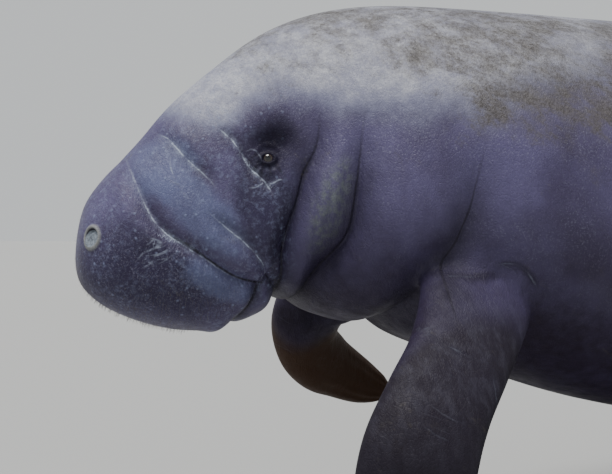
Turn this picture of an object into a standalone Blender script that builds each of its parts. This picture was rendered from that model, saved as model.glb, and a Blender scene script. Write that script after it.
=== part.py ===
"""A life-size West Indian manatee as a still display model, on a plain stand.

Metres, +Z up, the head towards -Y and the animal's left side towards +X. The origin is the centre of the
stand's underside. The trunk is one lofted skin from the snout to the tip of the tail, parted into its named
lengths by thin flat cuts. The flippers, nails, eyes and rods are sunk into pockets in that skin.
"""

import math

import bmesh
import bpy
import numpy as np
from mathutils import Matrix, Vector

# The gap that touching pieces keep, and how much wider the pockets are for rods and eyes, and for flippers.
GAP = 0.0003
SOCKET_GAP = 2 * GAP
POCKET_GAP = 4 * GAP

# Where the tip of the snout is: aft of the origin, and above the floor.
SNOUT_Y = -1.36
SNOUT_Z = 0.60

# Sections of the trunk, from the snout to the tail. Each is flat and runs from a point on the back to a point
# on the belly, both given as (aft of the snout, above the snout). Then come its half width, how high its
# widest place is as a share of its height, and three powers: 1 is an ellipse, less is squarer, more sharper.
SECTIONS = (
    ("snout", (0.000, -0.020), (0.000, -0.020), 0.000, 0.45, 1.00, 1.00, 1.00),
    ("nostril", (0.004, 0.014), (0.003, -0.053), 0.030, 0.40, 0.95, 1.02, 0.90),
    ("lip", (0.0120, 0.042), (0.014, -0.072), 0.051, 0.36, 0.92, 1.04, 0.84),
    ("muzzle_front", (0.0395, 0.080), (0.042, -0.093), 0.076, 0.34, 0.90, 1.04, 0.80),
    ("muzzle", (0.077, 0.122), (0.082, -0.110), 0.091, 0.34, 0.90, 1.02, 0.78),
    ("muzzle_back", (0.113, 0.1665), (0.120, -0.120), 0.099, 0.35, 0.92, 1.00, 0.78),
    ("cheek", (0.174, 0.2235), (0.178, -0.122), 0.109, 0.37, 0.94, 1.00, 0.82),
    ("eye", (0.238, 0.274), (0.232, -0.104), 0.124, 0.38, 0.95, 1.00, 0.86),
    ("nape", (0.303, 0.306), (0.277, -0.086), 0.146, 0.40, 0.96, 1.00, 0.88),
    ("neck", (0.384, 0.325), (0.335, -0.103), 0.188, 0.42, 0.96, 0.98, 0.88),
    ("shoulder", (0.500, 0.331), (0.450, -0.146), 0.240, 0.44, 0.95, 0.96, 0.88),
    ("chest", (0.740, 0.335), (0.700, -0.238), 0.292, 0.45, 0.94, 0.94, 0.88),
    ("ribs", (1.020, 0.342), (1.000, -0.298), 0.332, 0.46, 0.93, 0.93, 0.87),
    ("belly", (1.360, 0.348), (1.360, -0.324), 0.352, 0.46, 0.93, 0.93, 0.87),
    ("loin", (1.680, 0.300), (1.680, -0.298), 0.320, 0.47, 0.94, 0.95, 0.90),
    ("hip", (1.960, 0.222), (1.960, -0.228), 0.250, 0.48, 0.96, 1.00, 0.96),
    ("tail_root", (2.190, 0.128), (2.190, -0.148), 0.180, 0.50, 1.00, 1.05, 1.05),
    ("paddle_root", (2.330, 0.072), (2.330, -0.118), 0.196, 0.50, 1.00, 1.15, 1.15),
    ("paddle", (2.490, 0.014), (2.490, -0.104), 0.276, 0.50, 1.00, 1.25, 1.25),
    ("paddle_widest", (2.650, -0.036), (2.650, -0.106), 0.324, 0.50, 1.00, 1.30, 1.30),
    ("paddle_back", (2.810, -0.076), (2.810, -0.120), 0.272, 0.50, 1.00, 1.30, 1.30),
    ("paddle_edge", (2.900, -0.098), (2.900, -0.124), 0.150, 0.50, 1.00, 1.20, 1.20),
    ("tail_tip", (2.924, -0.112), (2.924, -0.112), 0.000, 0.50, 1.00, 1.20, 1.20),
)

# Folds of the skin as the side view shows them, alike on both sides. Each has its depth, its half width, how
# high the skin rolls up behind it (or ahead of it, if negative), the shares over which it fades in and out,
# and its places as (aft of the snout, above the snout).
FOLDS = (
    ("over_muzzle", 0.0055, 0.010, -0.003, 0.35, 0.0,
     ((0.058, 0.112), (0.062, 0.084), (0.072, 0.050), (0.087, 0.018), (0.107, -0.002), (0.144, -0.026),
      (0.172, -0.045), (0.212, -0.061))),
    ("over_cheek", 0.0030, 0.010, 0.002, 0.4, 0.3,
     ((0.086, 0.142), (0.097, 0.130), (0.108, 0.121), (0.124, 0.098), (0.148, 0.073), (0.160, 0.056))),
    ("behind_cheek", 0.0050, 0.010, -0.004, 0.3, 0.0,
     ((0.143, 0.034), (0.167, 0.013), (0.197, -0.012), (0.219, -0.039), (0.214, -0.058))),
    ("under_eye", 0.0025, 0.009, 0.001, 0.2, 0.3,
     ((0.159, 0.140), (0.175, 0.120), (0.190, 0.104), (0.197, 0.080), (0.214, 0.068), (0.228, 0.049))),
    ("mouth", 0.0080, 0.009, -0.004, 0.0, 0.0,
     ((0.214, -0.058), (0.212, -0.075), (0.206, -0.094), (0.195, -0.112), (0.184, -0.140))),
    ("behind_chin", 0.0060, 0.011, 0.002, 0.0, 0.0,
     ((0.222, -0.046), (0.240, -0.066), (0.256, -0.082), (0.262, -0.110))),
    ("jowl", 0.0100, 0.014, 0.006, 0.4, 0.0,
     ((0.284, 0.176), (0.278, 0.116), (0.262, 0.079), (0.254, 0.045), (0.244, 0.011), (0.241, -0.022),
      (0.250, -0.073), (0.262, -0.120))),
    ("throat", 0.0100, 0.017, 0.007, 0.5, 0.0,
     ((0.336, 0.180), (0.325, 0.124), (0.318, 0.057), (0.311, 0.000), (0.288, -0.039), (0.280, -0.070),
      (0.284, -0.130))),
    ("shoulder", 0.0120, 0.022, -0.004, 0.5, 0.1,
     ((0.462, 0.140), (0.449, 0.080), (0.431, 0.000), (0.406, -0.049), (0.398, -0.107), (0.404, -0.170))),
)

# Swellings and hollows of the skin, each with its height, its place in the side view, its half length, its
# half width and the way its length points, in degrees up from straight aft.
SWELLS = (
    ("cheek_lobe", 0.0050, (0.152, 0.018), 0.075, 0.024, -44),
    ("bristle_pad", 0.0040, (0.098, -0.062), 0.065, 0.038, -20),
    ("brow", 0.0035, (0.215, 0.150), 0.045, 0.020, 35),
    ("eye_hollow", -0.0055, (0.224, 0.110), 0.030, 0.024, 40),
    ("behind_cheek", -0.0050, (0.234, -0.030), 0.040, 0.014, 80),
    ("neck_roll", 0.0060, (0.284, 0.030), 0.095, 0.022, 72),
    ("shoulder_roll", 0.0080, (0.368, 0.000), 0.130, 0.040, 76),
    ("armpit", -0.0100, (0.425, -0.110), 0.050, 0.030, 20),
)

# The nostrils and eyes: where each is on the skin, as metres along from the snout and degrees round from the
# back, and its own sizes.
NOSTRIL_AT = (0.089, 66.0)
NOSTRIL_LONG = 0.0125
NOSTRIL_WIDE = 0.0085
NOSTRIL_DEPTH = 0.009
NOSTRIL_RIM = 0.0028
EYE_AT = (0.396, 73.2)
EYE_RADIUS = 0.011
EYE_SUNK = 0.0085
LID_RADIUS = 0.0095
LID_HEIGHT = 0.0035
LID_WIDTH = 0.0045

# Flippers, from the shoulder to the tip: places as (out from the middle, aft and above the snout), half width
# and half thickness there, and how far the broad face is turned to the front, in degrees.
FLIPPER_LEFT = (
    ((0.150, 0.488, -0.038), 0.089, 0.036, 10),
    ((0.212, 0.451, -0.082), 0.070, 0.034, 12),
    ((0.256, 0.404, -0.136), 0.060, 0.029, 16),
    ((0.288, 0.358, -0.182), 0.059, 0.025, 18),
    ((0.304, 0.328, -0.228), 0.062, 0.021, 20),
    ((0.306, 0.317, -0.278), 0.062, 0.017, 18),
    ((0.300, 0.316, -0.330), 0.057, 0.014, 14),
    ((0.287, 0.326, -0.380), 0.044, 0.010, 10),
    ((0.277, 0.336, -0.410), 0.024, 0.007, 8),
)
FLIPPER_RIGHT = (
    ((0.150, 0.462, -0.042), 0.056, 0.040, 0),
    ((0.212, 0.440, -0.082), 0.078, 0.042, 0),
    ((0.258, 0.414, -0.134), 0.072, 0.036, 4),
    ((0.300, 0.425, -0.193), 0.062, 0.029, 12),
    ((0.326, 0.464, -0.233), 0.059, 0.023, 18),
    ((0.348, 0.512, -0.260), 0.051, 0.018, 22),
    ((0.364, 0.560, -0.285), 0.042, 0.014, 24),
    ((0.372, 0.596, -0.300), 0.030, 0.010, 24),
    ((0.375, 0.618, -0.308), 0.016, 0.007, 24),
)
FLIPPER_STEPS = 2
FLIPPER_SIDES = 22
NAILS = 4
NAIL_LONG = 0.013
NAIL_WIDE = 0.0085
NAIL_THICK = 0.0040
NAIL_SPREAD = 0.66
NAIL_RINGS_BACK = 3
NAIL_ARC = 2

# Cuts that part the trunk, each through two places in the side view.
CUTS = {
    "neck": ((0.246, -0.090), (0.312, 0.300)),
    "torso": ((0.322, -0.110), (0.396, 0.320)),
    "tail": ((1.900, -0.250), (1.900, 0.250)),
    "fluke": ((2.270, -0.150), (2.270, 0.150)),
}

# The stand: a flat base and two rods, with the rods' places along the trunk.
BASE_LENGTH = 1.50
BASE_WIDTH = 0.72
BASE_HEIGHT = 0.030
BASE_CORNER = 0.060
BASE_EDGE = 0.004
ROD_RADIUS = 0.025
ROD_SINK = 0.030
ROD_SIDES = 32
FLANGE_RADIUS = 0.065
FLANGE_HEIGHT = 0.008
FLANGE_NECK = 0.014
FLANGE_STEP = 0.002
SOCKET_LENGTH = 0.200
RODS = {"stand_rod_front": -0.42, "stand_rod_rear": 0.42}

# Colour, roughness and metal of each material.
MATERIALS = {
    "skin": ((0.115, 0.105, 0.125), 0.62, 0.0),
    "flipper_skin": ((0.090, 0.082, 0.096), 0.66, 0.0),
    "eye": ((0.012, 0.010, 0.010), 0.12, 0.0),
    "stand": ((0.030, 0.031, 0.033), 0.42, 0.6),
}


def remove_everything():
    for thing in list(bpy.data.objects):
        bpy.data.objects.remove(thing, do_unlink=True)


def material(name):
    """The named material, made on its first use."""
    found = bpy.data.materials.get(name)
    if found:
        return found
    made = bpy.data.materials.new(name)
    made.use_nodes = True
    shader = made.node_tree.nodes["Principled BSDF"]
    colour, roughness, metal = MATERIALS[name]
    shader.inputs["Base Color"].default_value = (*colour, 1.0)
    shader.inputs["Roughness"].default_value = roughness
    shader.inputs["Metallic"].default_value = metal
    return made


def add_object(name, points, faces, skin):
    """A closed mesh object of these points and faces, with its faces turned out."""
    mesh = bpy.data.meshes.new(name)
    mesh.from_pydata([tuple(map(float, point)) for point in points], [], faces)
    shape = bmesh.new()
    shape.from_mesh(mesh)
    bmesh.ops.remove_doubles(shape, verts=shape.verts, dist=1e-6)
    bmesh.ops.dissolve_degenerate(shape, edges=shape.edges, dist=1e-6)
    bmesh.ops.recalc_face_normals(shape, faces=shape.faces)
    shape.to_mesh(mesh)
    shape.free()
    thing = bpy.data.objects.new(name, mesh)
    mesh.materials.append(material(skin))
    bpy.context.scene.collection.objects.link(thing)
    return thing


def closed_spline(places, values):
    """A smooth closed curve through values at rising places; the last place is the first one, a turn later."""
    gaps = np.diff(places)
    count = len(gaps)
    slopes = np.diff(values) / gaps
    matrix = np.zeros((count, count))
    for k in range(count):
        before = gaps[k - 1]
        matrix[k, k - 1] += before
        matrix[k, k] += 2 * (before + gaps[k])
        matrix[k, (k + 1) % count] += gaps[k]
    bends = np.linalg.solve(matrix, 6 * (slopes - np.roll(slopes, 1)))
    bends = np.append(bends, bends[0])

    def at(place):
        k = np.clip(np.searchsorted(places, place, side="right") - 1, 0, count - 1)
        ahead = (place - places[k]) / gaps[k]
        behind = 1 - ahead
        lift = (ahead**3 - ahead) * bends[k + 1] + (behind**3 - behind) * bends[k]
        return ahead * values[k + 1] + behind * values[k] + lift * gaps[k] ** 2 / 6

    return at


def places_along():
    """How far along the skin each section is from the snout."""
    rows = np.array([(back[0], back[1], half) for _, back, _, half, *_ in SECTIONS])
    steps = np.linalg.norm(np.diff(rows, axis=0), axis=1)
    return np.concatenate([[0.0], np.cumsum(steps)])


ALONG = places_along()
END = ALONG[-1]


def round_the_body(along_back, along_belly):
    """The spline that runs down the back from the snout and returns along the belly."""
    places = np.concatenate([ALONG, 2 * END - ALONG[-2::-1]])
    values = np.concatenate([along_back, along_belly[-2::-1]])
    return closed_spline(places, values)


BACK = np.array([row[1] for row in SECTIONS])
BELLY = np.array([row[2] for row in SECTIONS])
HALF = np.array([row[3] for row in SECTIONS])
AFT = round_the_body(BACK[:, 0], BELLY[:, 0])
UP = round_the_body(BACK[:, 1], BELLY[:, 1])
WIDE = round_the_body(HALF, -HALF)
WIDEST, SIDE_POWER, TOP_POWER, BOTTOM_POWER = (
    round_the_body(column, column) for column in np.array([row[4:] for row in SECTIONS]).T
)


def signed_power(value, power):
    return np.sign(value) * np.abs(value) ** power


def smooth_skin(u, turn):
    """Points of the trunk without folds: u metres along from the snout, turn round from the back to the left."""
    back = np.stack([AFT(u), UP(u)], axis=-1)
    belly = np.stack([AFT(2 * END - u), UP(2 * END - u)], axis=-1)
    middle = belly + (back - belly) * WIDEST(u)[..., None]
    across = np.sin(turn)
    height = np.cos(turn)
    rise = signed_power(height, TOP_POWER(u))
    drop = signed_power(height, BOTTOM_POWER(u))
    upper = middle + (back - middle) * rise[..., None]
    lower = middle - (belly - middle) * drop[..., None]
    flat = np.where((height > 0)[..., None], upper, lower)
    side = WIDE(u) * signed_power(across, SIDE_POWER(u))
    return np.stack([side, flat[..., 0], flat[..., 1]], axis=-1)


def skin_normal(u, turn):
    """The smooth trunk's outward direction."""
    small_u = 0.0015
    small_turn = 0.012
    inside = np.clip(u, small_u, END - small_u)
    along = smooth_skin(inside + small_u, turn) - smooth_skin(inside - small_u, turn)
    around = smooth_skin(inside, turn + small_turn) - smooth_skin(inside, turn - small_turn)
    out = np.cross(around, along)
    return out / np.maximum(np.linalg.norm(out, axis=-1, keepdims=True), 1e-12)


def ease(share):
    """From 0 to 1 with level ends."""
    share = np.clip(share, 0.0, 1.0)
    return share * share * (3 - 2 * share)


def smooth_line(places, steps):
    """A line through the places with rounded corners, as a Catmull-Rom curve."""
    rows = np.asarray(places, dtype=float)
    rows = np.vstack([2 * rows[0] - rows[1], rows, 2 * rows[-1] - rows[-2]])
    made = []
    for before, start, end, after in zip(rows, rows[1:], rows[2:], rows[3:]):
        for t in np.arange(steps) / steps:
            bend = 2 * before - 5 * start + 4 * end - after
            twist = 3 * start - before - 3 * end + after
            made.append(start + 0.5 * (t * (end - before) + t**2 * bend + t**3 * twist))
    made.append(rows[-2])
    return np.array(made)


def from_line(seen, line):
    """For points in the side view: how far they are from a line, how far along it, and on which side."""
    steps = np.diff(line, axis=0)
    lengths = np.linalg.norm(steps, axis=1)
    before = np.concatenate([[0.0], np.cumsum(lengths)])
    near = np.full(seen.shape[:-1], np.inf)
    share = np.zeros(seen.shape[:-1])
    side = np.zeros(seen.shape[:-1])
    for start, step, length, passed in zip(line, steps, lengths, before):
        reach = seen - start
        t = np.clip((reach @ step) / length**2, 0.0, 1.0)
        away = reach - t[..., None] * step
        gap = np.linalg.norm(away, axis=-1)
        closer = gap < near
        near = np.where(closer, gap, near)
        share = np.where(closer, (passed + t * length) / before[-1], share)
        side = np.where(closer, np.sign(away[..., 0] * -step[1] + away[..., 1] * step[0]), side)
    return near, share, side


def fold_relief(seen):
    """What the folds add to the skin's height. Each runs downwards, so that its second side is aft."""
    height = np.zeros(seen.shape[:-1])
    for _, depth, width, roll, fade_in, fade_out, places in FOLDS:
        near, share, side = from_line(seen, smooth_line(places, 4))
        fade = ease(share / max(fade_in, 1e-6)) * ease((1 - share) / max(fade_out, 1e-6))
        height -= depth * fade * np.exp(-((near / width) ** 2))
        beside = np.exp(-(((near - 2.0 * width) / (1.6 * width)) ** 2))
        height += abs(roll) * fade * beside * (side * np.sign(roll) > 0)
    return height


def swell_relief(seen):
    height = np.zeros(seen.shape[:-1])
    for _, rise, centre, half_long, half_wide, tilt in SWELLS:
        angle = math.radians(tilt)
        away = seen - np.array(centre)
        long_way = away[..., 0] * math.cos(angle) + away[..., 1] * math.sin(angle)
        wide_way = away[..., 1] * math.cos(angle) - away[..., 0] * math.sin(angle)
        height += rise * np.exp(-((long_way / half_long) ** 2) - (wide_way / half_wide) ** 2)
    return height


def place_on_skin(u, degrees):
    """A point of the smooth skin, with its outward direction and two directions along the skin."""
    spot = smooth_skin(np.array(u), np.array(math.radians(degrees)))
    out = skin_normal(np.array(u), np.array(math.radians(degrees)))
    down = smooth_skin(np.array(u), np.array(math.radians(degrees + 1))) - spot
    down = down - out * (down @ out)
    down = down / np.linalg.norm(down)
    return spot, out, down, np.cross(out, down)


NOSTRIL_SPOT, NOSTRIL_OUT, NOSTRIL_DOWN, NOSTRIL_AFT = place_on_skin(*NOSTRIL_AT)
EYE_SPOT, EYE_OUT, EYE_DOWN, EYE_AFT = place_on_skin(*EYE_AT)


def left_side(place):
    return np.stack([np.abs(place[..., 0]), place[..., 1], place[..., 2]], axis=-1)


def nostril_relief(place):
    """A raised rim round an oval pit."""
    away = left_side(place) - NOSTRIL_SPOT
    long_way = (away @ NOSTRIL_DOWN) / NOSTRIL_LONG
    wide_way = (away @ NOSTRIL_AFT) / NOSTRIL_WIDE
    depth = away @ NOSTRIL_OUT
    ring = np.sqrt(long_way**2 + wide_way**2 + (depth / 0.04) ** 2)
    pit = NOSTRIL_DEPTH * np.exp(-((ring / 0.62) ** 4))
    rim = NOSTRIL_RIM * np.exp(-(((ring - 1.05) / 0.35) ** 2))
    return rim - pit


def eye_relief(place):
    """Two thick lids round the eye's opening."""
    away = left_side(place) - EYE_SPOT
    across = np.sqrt((away @ EYE_DOWN) ** 2 + (away @ EYE_AFT) ** 2)
    return LID_HEIGHT * np.exp(-(((across - LID_RADIUS) / LID_WIDTH) ** 2))


def cleft_relief(place):
    """The shallow cleft between the two pads of the upper lip."""
    below = ease((-0.02 - place[..., 2]) / 0.03) * ease((0.13 - place[..., 1]) / 0.05)
    return -0.005 * below * np.exp(-((place[..., 0] / 0.010) ** 2))


def relief(place):
    """How far the folded skin stands out from the smooth one."""
    seen = place[..., 1:]
    height = fold_relief(seen) + swell_relief(seen) + cleft_relief(place)
    from_poles = ease(place[..., 1] / 0.006)
    return (height + nostril_relief(place) + eye_relief(place)) * from_poles


def skin(u, turn):
    """Points of the folded trunk."""
    place = smooth_skin(u, turn)
    return place + skin_normal(u, turn) * relief(place)[..., None]


def in_world(place):
    return np.asarray(place) + np.array([0.0, SNOUT_Y, SNOUT_Z])


def spaced(*stretches):
    """Rising values from stretches of (start, end, count), each without its end but the last."""
    made = [np.linspace(start, end, count, endpoint=False) for start, end, count in stretches]
    return np.concatenate(made + [[stretches[-1][1]]])


def turns(*stretches):
    """Angles round the body in degrees, alike on both sides, from stretches between back and belly."""
    half = spaced(*stretches)
    return np.radians(np.concatenate([half, 360 - half[-2:0:-1]]))


HEAD_ROWS = spaced((0.0, 0.060, 7), (0.060, 0.114, 10), (0.114, 0.372, 24), (0.372, 0.420, 8), (0.420, 0.560, 11))
HEAD_TURNS = turns((0, 48, 6), (48, 88, 11), (88, 180, 17))
NECK_ROWS = spaced((0.400, 0.640, 24))
NECK_TURNS = turns((0, 60, 6), (60, 180, 16))
TORSO_ROWS = spaced((0.500, 0.820, 16), (0.820, 2.340, 18))
TORSO_TURNS = turns((0, 60, 5), (60, 180, 13))
TAIL_ROWS = spaced((2.040, 2.700, 11))
TAIL_TURNS = turns((0, 180, 16))
FLUKE_ROWS = spaced((2.440, END - 0.120, 15), (END - 0.120, END, 6))
FLUKE_TURNS = turns((0, 70, 5), (70, 110, 8), (110, 180, 5))


def skin_grid(name, rows, angles, skin_name):
    """A closed length of the trunk, with a pole where it reaches the snout or the tail and a lid elsewhere."""
    ring_rows = rows[(rows > 0) & (rows < END)]
    u, turn = np.meshgrid(ring_rows, angles, indexing="ij")
    points = in_world(skin(u, turn)).reshape(-1, 3)
    count = len(angles)
    faces = []
    for row in range(len(ring_rows) - 1):
        for k in range(count):
            after = (k + 1) % count
            faces.append((row * count + k, row * count + after, (row + 1) * count + after, (row + 1) * count + k))
    last = (len(ring_rows) - 1) * count
    for ring, is_pole, pole_u in ((0, rows[0] <= 0, 0.0), (last, rows[-1] >= END, END)):
        if is_pole:
            pole = in_world(smooth_skin(np.array(pole_u), np.array(0.0)))
            points = np.vstack([points, pole])
            top = len(points) - 1
            faces += [(ring + k, ring + (k + 1) % count, top) for k in range(count)]
        else:
            faces.append(tuple(ring + k for k in range(count)))
    return add_object(name, points, faces, skin_name)


def keep_one_side(thing, cut, aft_of_it):
    """Cut a closed mesh on a cut's plane, half a gap to one side of it, and close the cut."""
    low, high = (Vector((0.0, SNOUT_Y + place[0], SNOUT_Z + place[1])) for place in CUTS[cut])
    aft = (high - low).cross(Vector((1, 0, 0))).normalized()
    keep = aft if aft_of_it else -aft
    shape = bmesh.new()
    shape.from_mesh(thing.data)
    every = shape.verts[:] + shape.edges[:] + shape.faces[:]
    plane = low + keep * (GAP / 2)
    bmesh.ops.bisect_plane(shape, geom=every, plane_co=plane, plane_no=keep, clear_inner=True, dist=1e-7)
    rim = [edge for edge in shape.edges if edge.is_boundary]
    bmesh.ops.holes_fill(shape, edges=rim, sides=0)
    bmesh.ops.dissolve_degenerate(shape, edges=shape.edges, dist=1e-6)
    bmesh.ops.recalc_face_normals(shape, faces=shape.faces)
    shape.to_mesh(thing.data)
    shape.free()


def combine(thing, tool, operation):
    """Apply one Boolean between two closed meshes and remove the tool."""
    boolean = thing.modifiers.new(operation, "BOOLEAN")
    boolean.operation = operation
    boolean.solver = "EXACT"
    boolean.object = tool
    evaluated = thing.evaluated_get(bpy.context.evaluated_depsgraph_get())
    mesh = bpy.data.meshes.new_from_object(evaluated)
    thing.modifiers.clear()
    thing.data = mesh
    bpy.data.objects.remove(tool, do_unlink=True)


def ball(name, centre, radius, skin_name, rings=10, sides=16):
    """A sphere with a pole at its top and bottom."""
    angle = np.linspace(0, math.pi, rings + 1)[1:-1]
    turn = np.linspace(0, 2 * math.pi, sides, endpoint=False)
    a, t = np.meshgrid(angle, turn, indexing="ij")
    rows = np.stack([np.sin(a) * np.cos(t), np.sin(a) * np.sin(t), np.cos(a)], axis=-1).reshape(-1, 3)
    points = np.vstack([rows, [(0, 0, 1), (0, 0, -1)]]) * radius + np.asarray(centre)
    faces = []
    for row in range(rings - 2):
        for k in range(sides):
            after = (k + 1) % sides
            faces.append((row * sides + k, row * sides + after, (row + 1) * sides + after, (row + 1) * sides + k))
    top, bottom = len(points) - 2, len(points) - 1
    last = (rings - 2) * sides
    faces += [(k, (k + 1) % sides, top) for k in range(sides)]
    faces += [(last + k, last + (k + 1) % sides, bottom) for k in range(sides)]
    return add_object(name, points, faces, skin_name)


def flipper_frames(stations):
    """Along a flipper: its middle, the direction across it, the way its back faces, and half sizes."""
    rows = np.array([(*place, half, thick, turned) for place, half, thick, turned in stations])
    line = smooth_line(rows, FLIPPER_STEPS)
    middle = line[:, :3]
    ahead = np.gradient(middle, axis=0)
    ahead = ahead / np.linalg.norm(ahead, axis=1, keepdims=True)
    turned = np.radians(line[:, 5])
    outward = np.stack([np.cos(turned), -np.sin(turned), 0.35 * np.ones_like(turned)], axis=1)
    outward = outward - ahead * np.sum(outward * ahead, axis=1, keepdims=True)
    outward = outward / np.linalg.norm(outward, axis=1, keepdims=True)
    across = np.cross(outward, ahead)
    return middle, ahead, across, outward, line[:, 3], line[:, 4]


def flipper_points(stations, grow):
    """Rings of a flipper for the left side, grown by a clearance, with its two end points."""
    middle, ahead, across, outward, half, thick = flipper_frames(stations)
    angle = np.linspace(0, 2 * math.pi, FLIPPER_SIDES, endpoint=False)
    wide = signed_power(np.cos(angle), 0.9)[None, :, None] * across[:, None, :] * (half + grow)[:, None, None]
    deep = np.sin(angle)[None, :, None] * outward[:, None, :] * (thick + grow)[:, None, None]
    rings = middle[:, None, :] + wide + deep
    rings[0] -= ahead[0] * grow
    root = middle[0] - ahead[0] * grow
    tip = middle[-1] + ahead[-1] * (half[-1] * 0.45 + grow)
    return rings, root, tip


def flipper(name, stations, sign, grow=0.0):
    """A flipper on the left (sign 1) or the right (sign -1) side, from inside the shoulder to its tip."""
    rings, root, tip = flipper_points(stations, grow)
    count = FLIPPER_SIDES
    points = np.vstack([rings.reshape(-1, 3), root, tip]) * np.array([sign, 1, 1])
    last = (len(rings) - 1) * count
    faces = []
    for row in range(len(rings) - 1):
        for k in range(count):
            after = (k + 1) % count
            faces.append((row * count + k, row * count + after, (row + 1) * count + after, (row + 1) * count + k))
    faces += [(k, (k + 1) % count, last + count) for k in range(count)]
    faces += [(last + k, last + (k + 1) % count, last + count + 1) for k in range(count)]
    return add_object(name, in_world(points), faces, "flipper_skin")


def add_nails(thing, stations, sign):
    """Flat oval nails in a row on the back of the flipper's tip."""
    middle, ahead, across, outward, half, thick = flipper_frames(stations)
    row = len(middle) - NAIL_RINGS_BACK
    for k in range(NAILS):
        share = (k + 0.5) / NAILS * 2 - 1
        aside = NAIL_SPREAD * share
        inset = row - int(round(NAIL_ARC * share**2))
        centre = middle[inset] + across[inset] * half[inset] * aside
        centre = centre + outward[inset] * thick[inset] * math.sqrt(1 - aside**2)
        nail = ball("nail", (0, 0, 0), 1.0, "flipper_skin", 6, 10)
        scale = Matrix.Diagonal((NAIL_WIDE, NAIL_LONG, NAIL_THICK, 1.0))
        axes = np.array([across[inset], ahead[inset], outward[inset]]) * np.array([sign, 1, 1])
        turn = Matrix(axes.T.tolist()).to_4x4()
        spot = in_world(centre * np.array([sign, 1, 1]))
        nail.data.transform(Matrix.Translation(Vector(spot)) @ turn @ scale)
        if turn.determinant() < 0:
            nail.data.flip_normals()
        combine(thing, nail, "UNION")


def turned(name, profile, sides, y, skin_name):
    """A round solid about the upright axis at a place along the stand, from its (radius, height) profile."""
    angle = np.linspace(0, 2 * math.pi, sides, endpoint=False)
    ring = np.stack([np.cos(angle), np.sin(angle)], axis=-1)
    points = [(radius * x, radius * z + y, height) for radius, height in profile for x, z in ring]
    last = (len(profile) - 1) * sides
    faces = [tuple(range(sides)), tuple(last + k for k in range(sides))]
    for row in range(len(profile) - 1):
        for k in range(sides):
            after = (k + 1) % sides
            faces.append((row * sides + k, row * sides + after, (row + 1) * sides + after, (row + 1) * sides + k))
    return add_object(name, points, faces, skin_name)


def rod(name, y, top):
    """A round rod with a flange at its foot, from the base to its socket in the belly."""
    foot = BASE_HEIGHT + GAP
    profile = (
        (FLANGE_RADIUS, foot),
        (FLANGE_RADIUS, foot + FLANGE_HEIGHT),
        (ROD_RADIUS + 2 * FLANGE_STEP, foot + FLANGE_HEIGHT + FLANGE_STEP),
        (ROD_RADIUS, foot + FLANGE_HEIGHT + FLANGE_NECK),
        (ROD_RADIUS, top),
    )
    return turned(name, profile, ROD_SIDES, y, "stand")


def rod_socket(y, top):
    """The pocket for a rod in the belly, a clearance larger than the rod."""
    radius = ROD_RADIUS + SOCKET_GAP
    profile = ((radius, top - SOCKET_LENGTH), (radius, top + GAP))
    return turned("socket", profile, ROD_SIDES, y, "skin")


def stand_base():
    """A flat plate with round corners and a small bevel round its top."""
    corners = []
    for quarter, (sx, sy) in enumerate(((1, 1), (-1, 1), (-1, -1), (1, -1))):
        for step in range(7):
            angle = math.radians(90 * quarter + 15 * step)
            x = sx * (BASE_WIDTH / 2 - BASE_CORNER) + BASE_CORNER * math.cos(angle)
            y = sy * (BASE_LENGTH / 2 - BASE_CORNER) + BASE_CORNER * math.sin(angle)
            corners.append((x, y))
    count = len(corners)
    outline = np.array(corners)
    inner = outline * (1 - BASE_EDGE / (np.abs(outline).max(axis=0)))
    levels = ((outline, 0.0), (outline, BASE_HEIGHT - BASE_EDGE), (inner, BASE_HEIGHT))
    points = [(x, y, height) for shape, height in levels for x, y in shape]
    faces = [tuple(range(count)), tuple(2 * count + k for k in range(count))]
    for level in range(2):
        for k in range(count):
            after = (k + 1) % count
            faces.append((level * count + k, level * count + after, (level + 1) * count + after,
                          (level + 1) * count + k))
    return add_object("stand_base", points, faces, "stand")


def shade(thing, degrees):
    thing.data.shade_smooth()
    thing.data.set_sharp_from_angle(angle=math.radians(degrees))


def belly_height(y):
    """How high the belly is over the floor at a place along the stand."""
    aft = y - SNOUT_Y
    u = np.linspace(0.3, END - 0.2, 4000)
    row = int(np.argmin(np.abs(AFT(2 * END - u) - aft)))
    return float(UP(2 * END - u[row])) + SNOUT_Z


def build():
    remove_everything()
    head = skin_grid("head", HEAD_ROWS, HEAD_TURNS, "skin")
    keep_one_side(head, "neck", False)
    neck = skin_grid("neck", NECK_ROWS, NECK_TURNS, "skin")
    keep_one_side(neck, "neck", True)
    keep_one_side(neck, "torso", False)
    torso = skin_grid("torso", TORSO_ROWS, TORSO_TURNS, "skin")
    keep_one_side(torso, "torso", True)
    keep_one_side(torso, "tail", False)
    tail = skin_grid("tail_stock", TAIL_ROWS, TAIL_TURNS, "skin")
    keep_one_side(tail, "tail", True)
    keep_one_side(tail, "fluke", False)
    fluke = skin_grid("tail_fluke", FLUKE_ROWS, FLUKE_TURNS, "skin")
    keep_one_side(fluke, "fluke", True)

    for side, sign in (("left", 1), ("right", -1)):
        centre = (EYE_SPOT + EYE_OUT * (relief(EYE_SPOT) - EYE_SUNK)) * np.array([sign, 1, 1])
        combine(head, ball("socket", in_world(centre), EYE_RADIUS + SOCKET_GAP, "skin"), "DIFFERENCE")
        eye = ball("eye_" + side, in_world(centre), EYE_RADIUS, "eye")
        shade(eye, 60)

    for side, sign, stations in (("left", 1, FLIPPER_LEFT), ("right", -1, FLIPPER_RIGHT)):
        combine(torso, flipper("pocket", stations, sign, POCKET_GAP), "DIFFERENCE")
        limb = flipper("flipper_" + side, stations, sign)
        add_nails(limb, stations, sign)
        shade(limb, 50)

    for name, y in RODS.items():
        top = belly_height(y) + ROD_SINK
        combine(torso, rod_socket(y, top), "DIFFERENCE")
        shade(rod(name, y, top), 40)
    shade(stand_base(), 40)
    for thing in (head, neck, torso, tail, fluke):
        shade(thing, 60)


build()
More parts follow.
